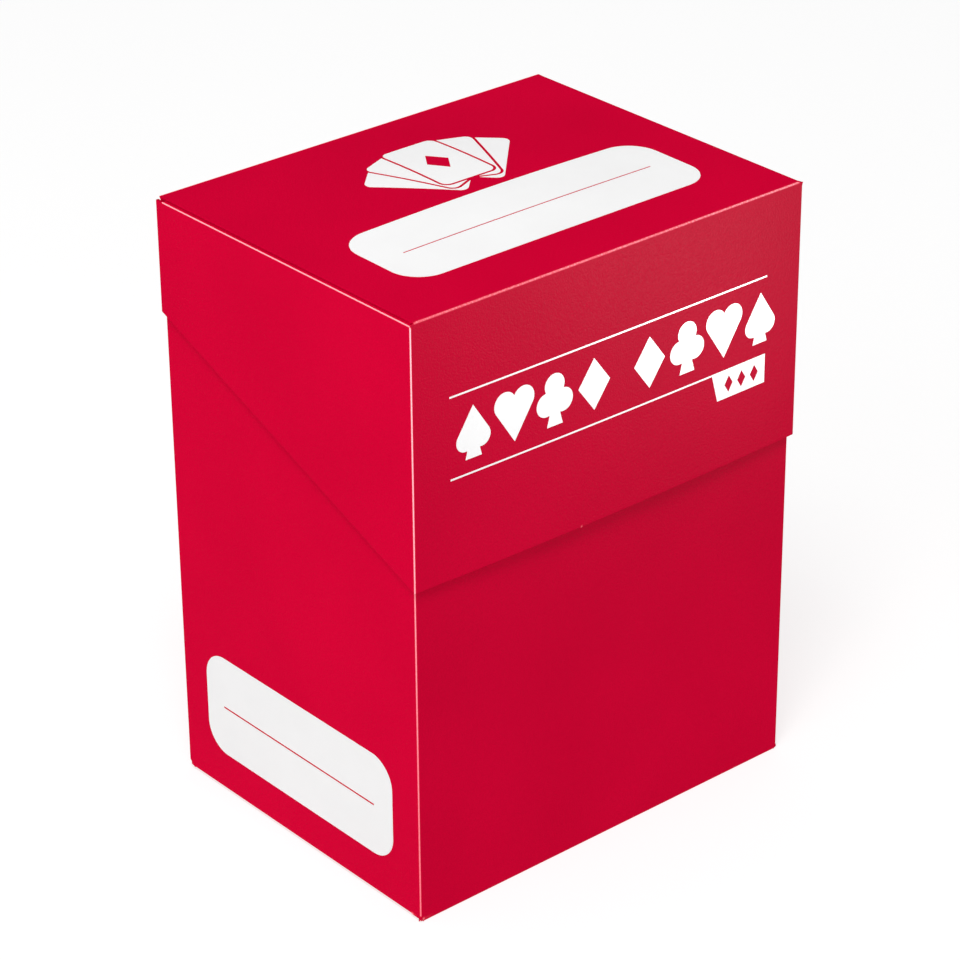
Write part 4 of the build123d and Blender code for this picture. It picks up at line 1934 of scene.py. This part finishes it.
@dataclass
class Studio:
    """The pale floor, the soft light and the camera."""

    lens: float = 131.93
    camera_place: tuple[float, float, float] = (-0.301551, -0.354246, 0.293415)
    azimuth: float = 40.3555
    elevation: float = 27.728
    roll: float = -0.469
    floor_half: float = 3.0
    floor_albedo: float = 0.35
    floor_glow: float = 0.70
    sky_seen: float = 1.0
    sky_light: float = 0.30
    lights: tuple[SoftLight, ...] = (
        SoftLight("key", (-0.525, -0.48, 1.29), 0.5, 10.5),
        SoftLight("left_fill", (-0.95, -0.28, 0.50), 0.8, 3.9),
        SoftLight("overhead", (0.0, 0.0, 1.6), 1.4, 4.05),
        SoftLight("front_sheen", (0.089, -0.117, 0.053), 0.03, 0.9, (0.02, -0.0285, 0.08), False, True),
    )

    def camera(self) -> None:
        """Makes the camera. It looks along the azimuth, down by the elevation, with a small roll."""
        data = bpy.data.cameras.new("camera")
        data.lens = self.lens
        data.sensor_width = 36.0
        data.clip_start = 0.01
        data.clip_end = 50.0
        made = bpy.data.objects.new("camera", data)
        azimuth, elevation = math.radians(self.azimuth), math.radians(self.elevation)
        level_run = math.cos(elevation)
        ahead = Vector((math.sin(azimuth) * level_run, math.cos(azimuth) * level_run, -math.sin(elevation)))
        side = ahead.cross(Vector((0, 0, 1))).normalized()
        upward = side.cross(ahead)
        roll = math.radians(self.roll)
        right = side * math.cos(roll) + upward * math.sin(roll)
        up = upward * math.cos(roll) - side * math.sin(roll)
        turned = Matrix((right, up, -ahead)).transposed().to_4x4()
        made.matrix_world = Matrix.Translation(self.camera_place) @ turned
        bpy.context.scene.collection.objects.link(made)
        bpy.context.scene.camera = made

    def floor(self) -> None:
        """Makes the floor, a flat grid with a pale surface that glows a little."""
        even = np.linspace(-self.floor_half, self.floor_half, 9) / METRES
        x, y = np.meshgrid(even, even, indexing="ij")
        points = np.stack([x, y, np.full(x.shape, -0.01)], axis=-1).reshape(-1, 3)
        made = write_mesh("floor", points, grid_faces(9, 9))
        material = bpy.data.materials.new("pale_floor")
        material.use_nodes = True
        nodes = Nodes(material.node_tree)
        shade = opaque((self.floor_albedo,) * 3)
        sockets = {"Base Color": shade, "Roughness": 1.0, "Specular IOR Level": 0.0}
        sockets |= {"Emission Color": opaque((1.0, 1.0, 1.0)), "Emission Strength": self.floor_glow}
        shader = nodes.add("ShaderNodeBsdfPrincipled", sockets)
        nodes.add("ShaderNodeOutputMaterial", {"Surface": shader.outputs["BSDF"]})
        made.data.materials.append(material)
        made.visible_glossy = False

    def world(self) -> None:
        """Makes the sky: white to the eye, softer as light, and absent from reflections."""
        world = bpy.data.worlds.new("soft_sky")
        bpy.context.scene.world = world
        world.use_nodes = True
        nodes = Nodes(world.node_tree)
        path = nodes.add("ShaderNodeLightPath")
        seen = nodes.math("MULTIPLY", path.outputs["Is Camera Ray"], self.sky_seen - self.sky_light)
        strength = nodes.math("ADD", seen, self.sky_light)
        sky = nodes.add("ShaderNodeBackground", {"Color": opaque((1.0, 1.0, 1.0)), "Strength": strength})
        nodes.add("ShaderNodeOutputWorld", {"Surface": sky.outputs["Background"]})
        world.cycles_visibility.glossy = False

    def build(self) -> None:
        """Sets up everything round the object."""
        bpy.context.scene.view_settings.view_transform = "Standard"
        self.camera()
        self.floor()
        self.world()
        for light in self.lights:
            light.build()
        LOG.info("studio: floor, sky, camera and %d lights", len(self.lights))


def main() -> None:
    """Builds the box's looks in order: case, lid, hinge, divider, print, studio."""
    logging.basicConfig(level=logging.INFO, format="%(name)s %(message)s")
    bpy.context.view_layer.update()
    box = Box.from_frame()
    bulges = Bulges(box)
    loose = SheetFinish("divider_sheet", red=(0.56, 0.0005, 0.029), deep=(0.51, 0.0003, 0.026))
    # painted shade: the print on the case's side is the same white ink, made greyer
    shaded_side_ink = InkFinish("shaded_side_ink", bright=(0.85, 0.85, 0.85), thin=(0.83, 0.83, 0.83))
    shop = Workshop(SheetFinish().material(), InkFinish().material(), shaded_side_ink.material(), loose.material())
    Case(box, bulges, shop).build()
    Lid(box, bulges, shop).build()
    Hinge(box, bulges, shop).build()
    Divider(box, shop).build()
    CasePrint(box, shop).build()
    LidPrint(box, bulges, shop).build()
    Studio().build()


if __name__ == "__main__":
    main()
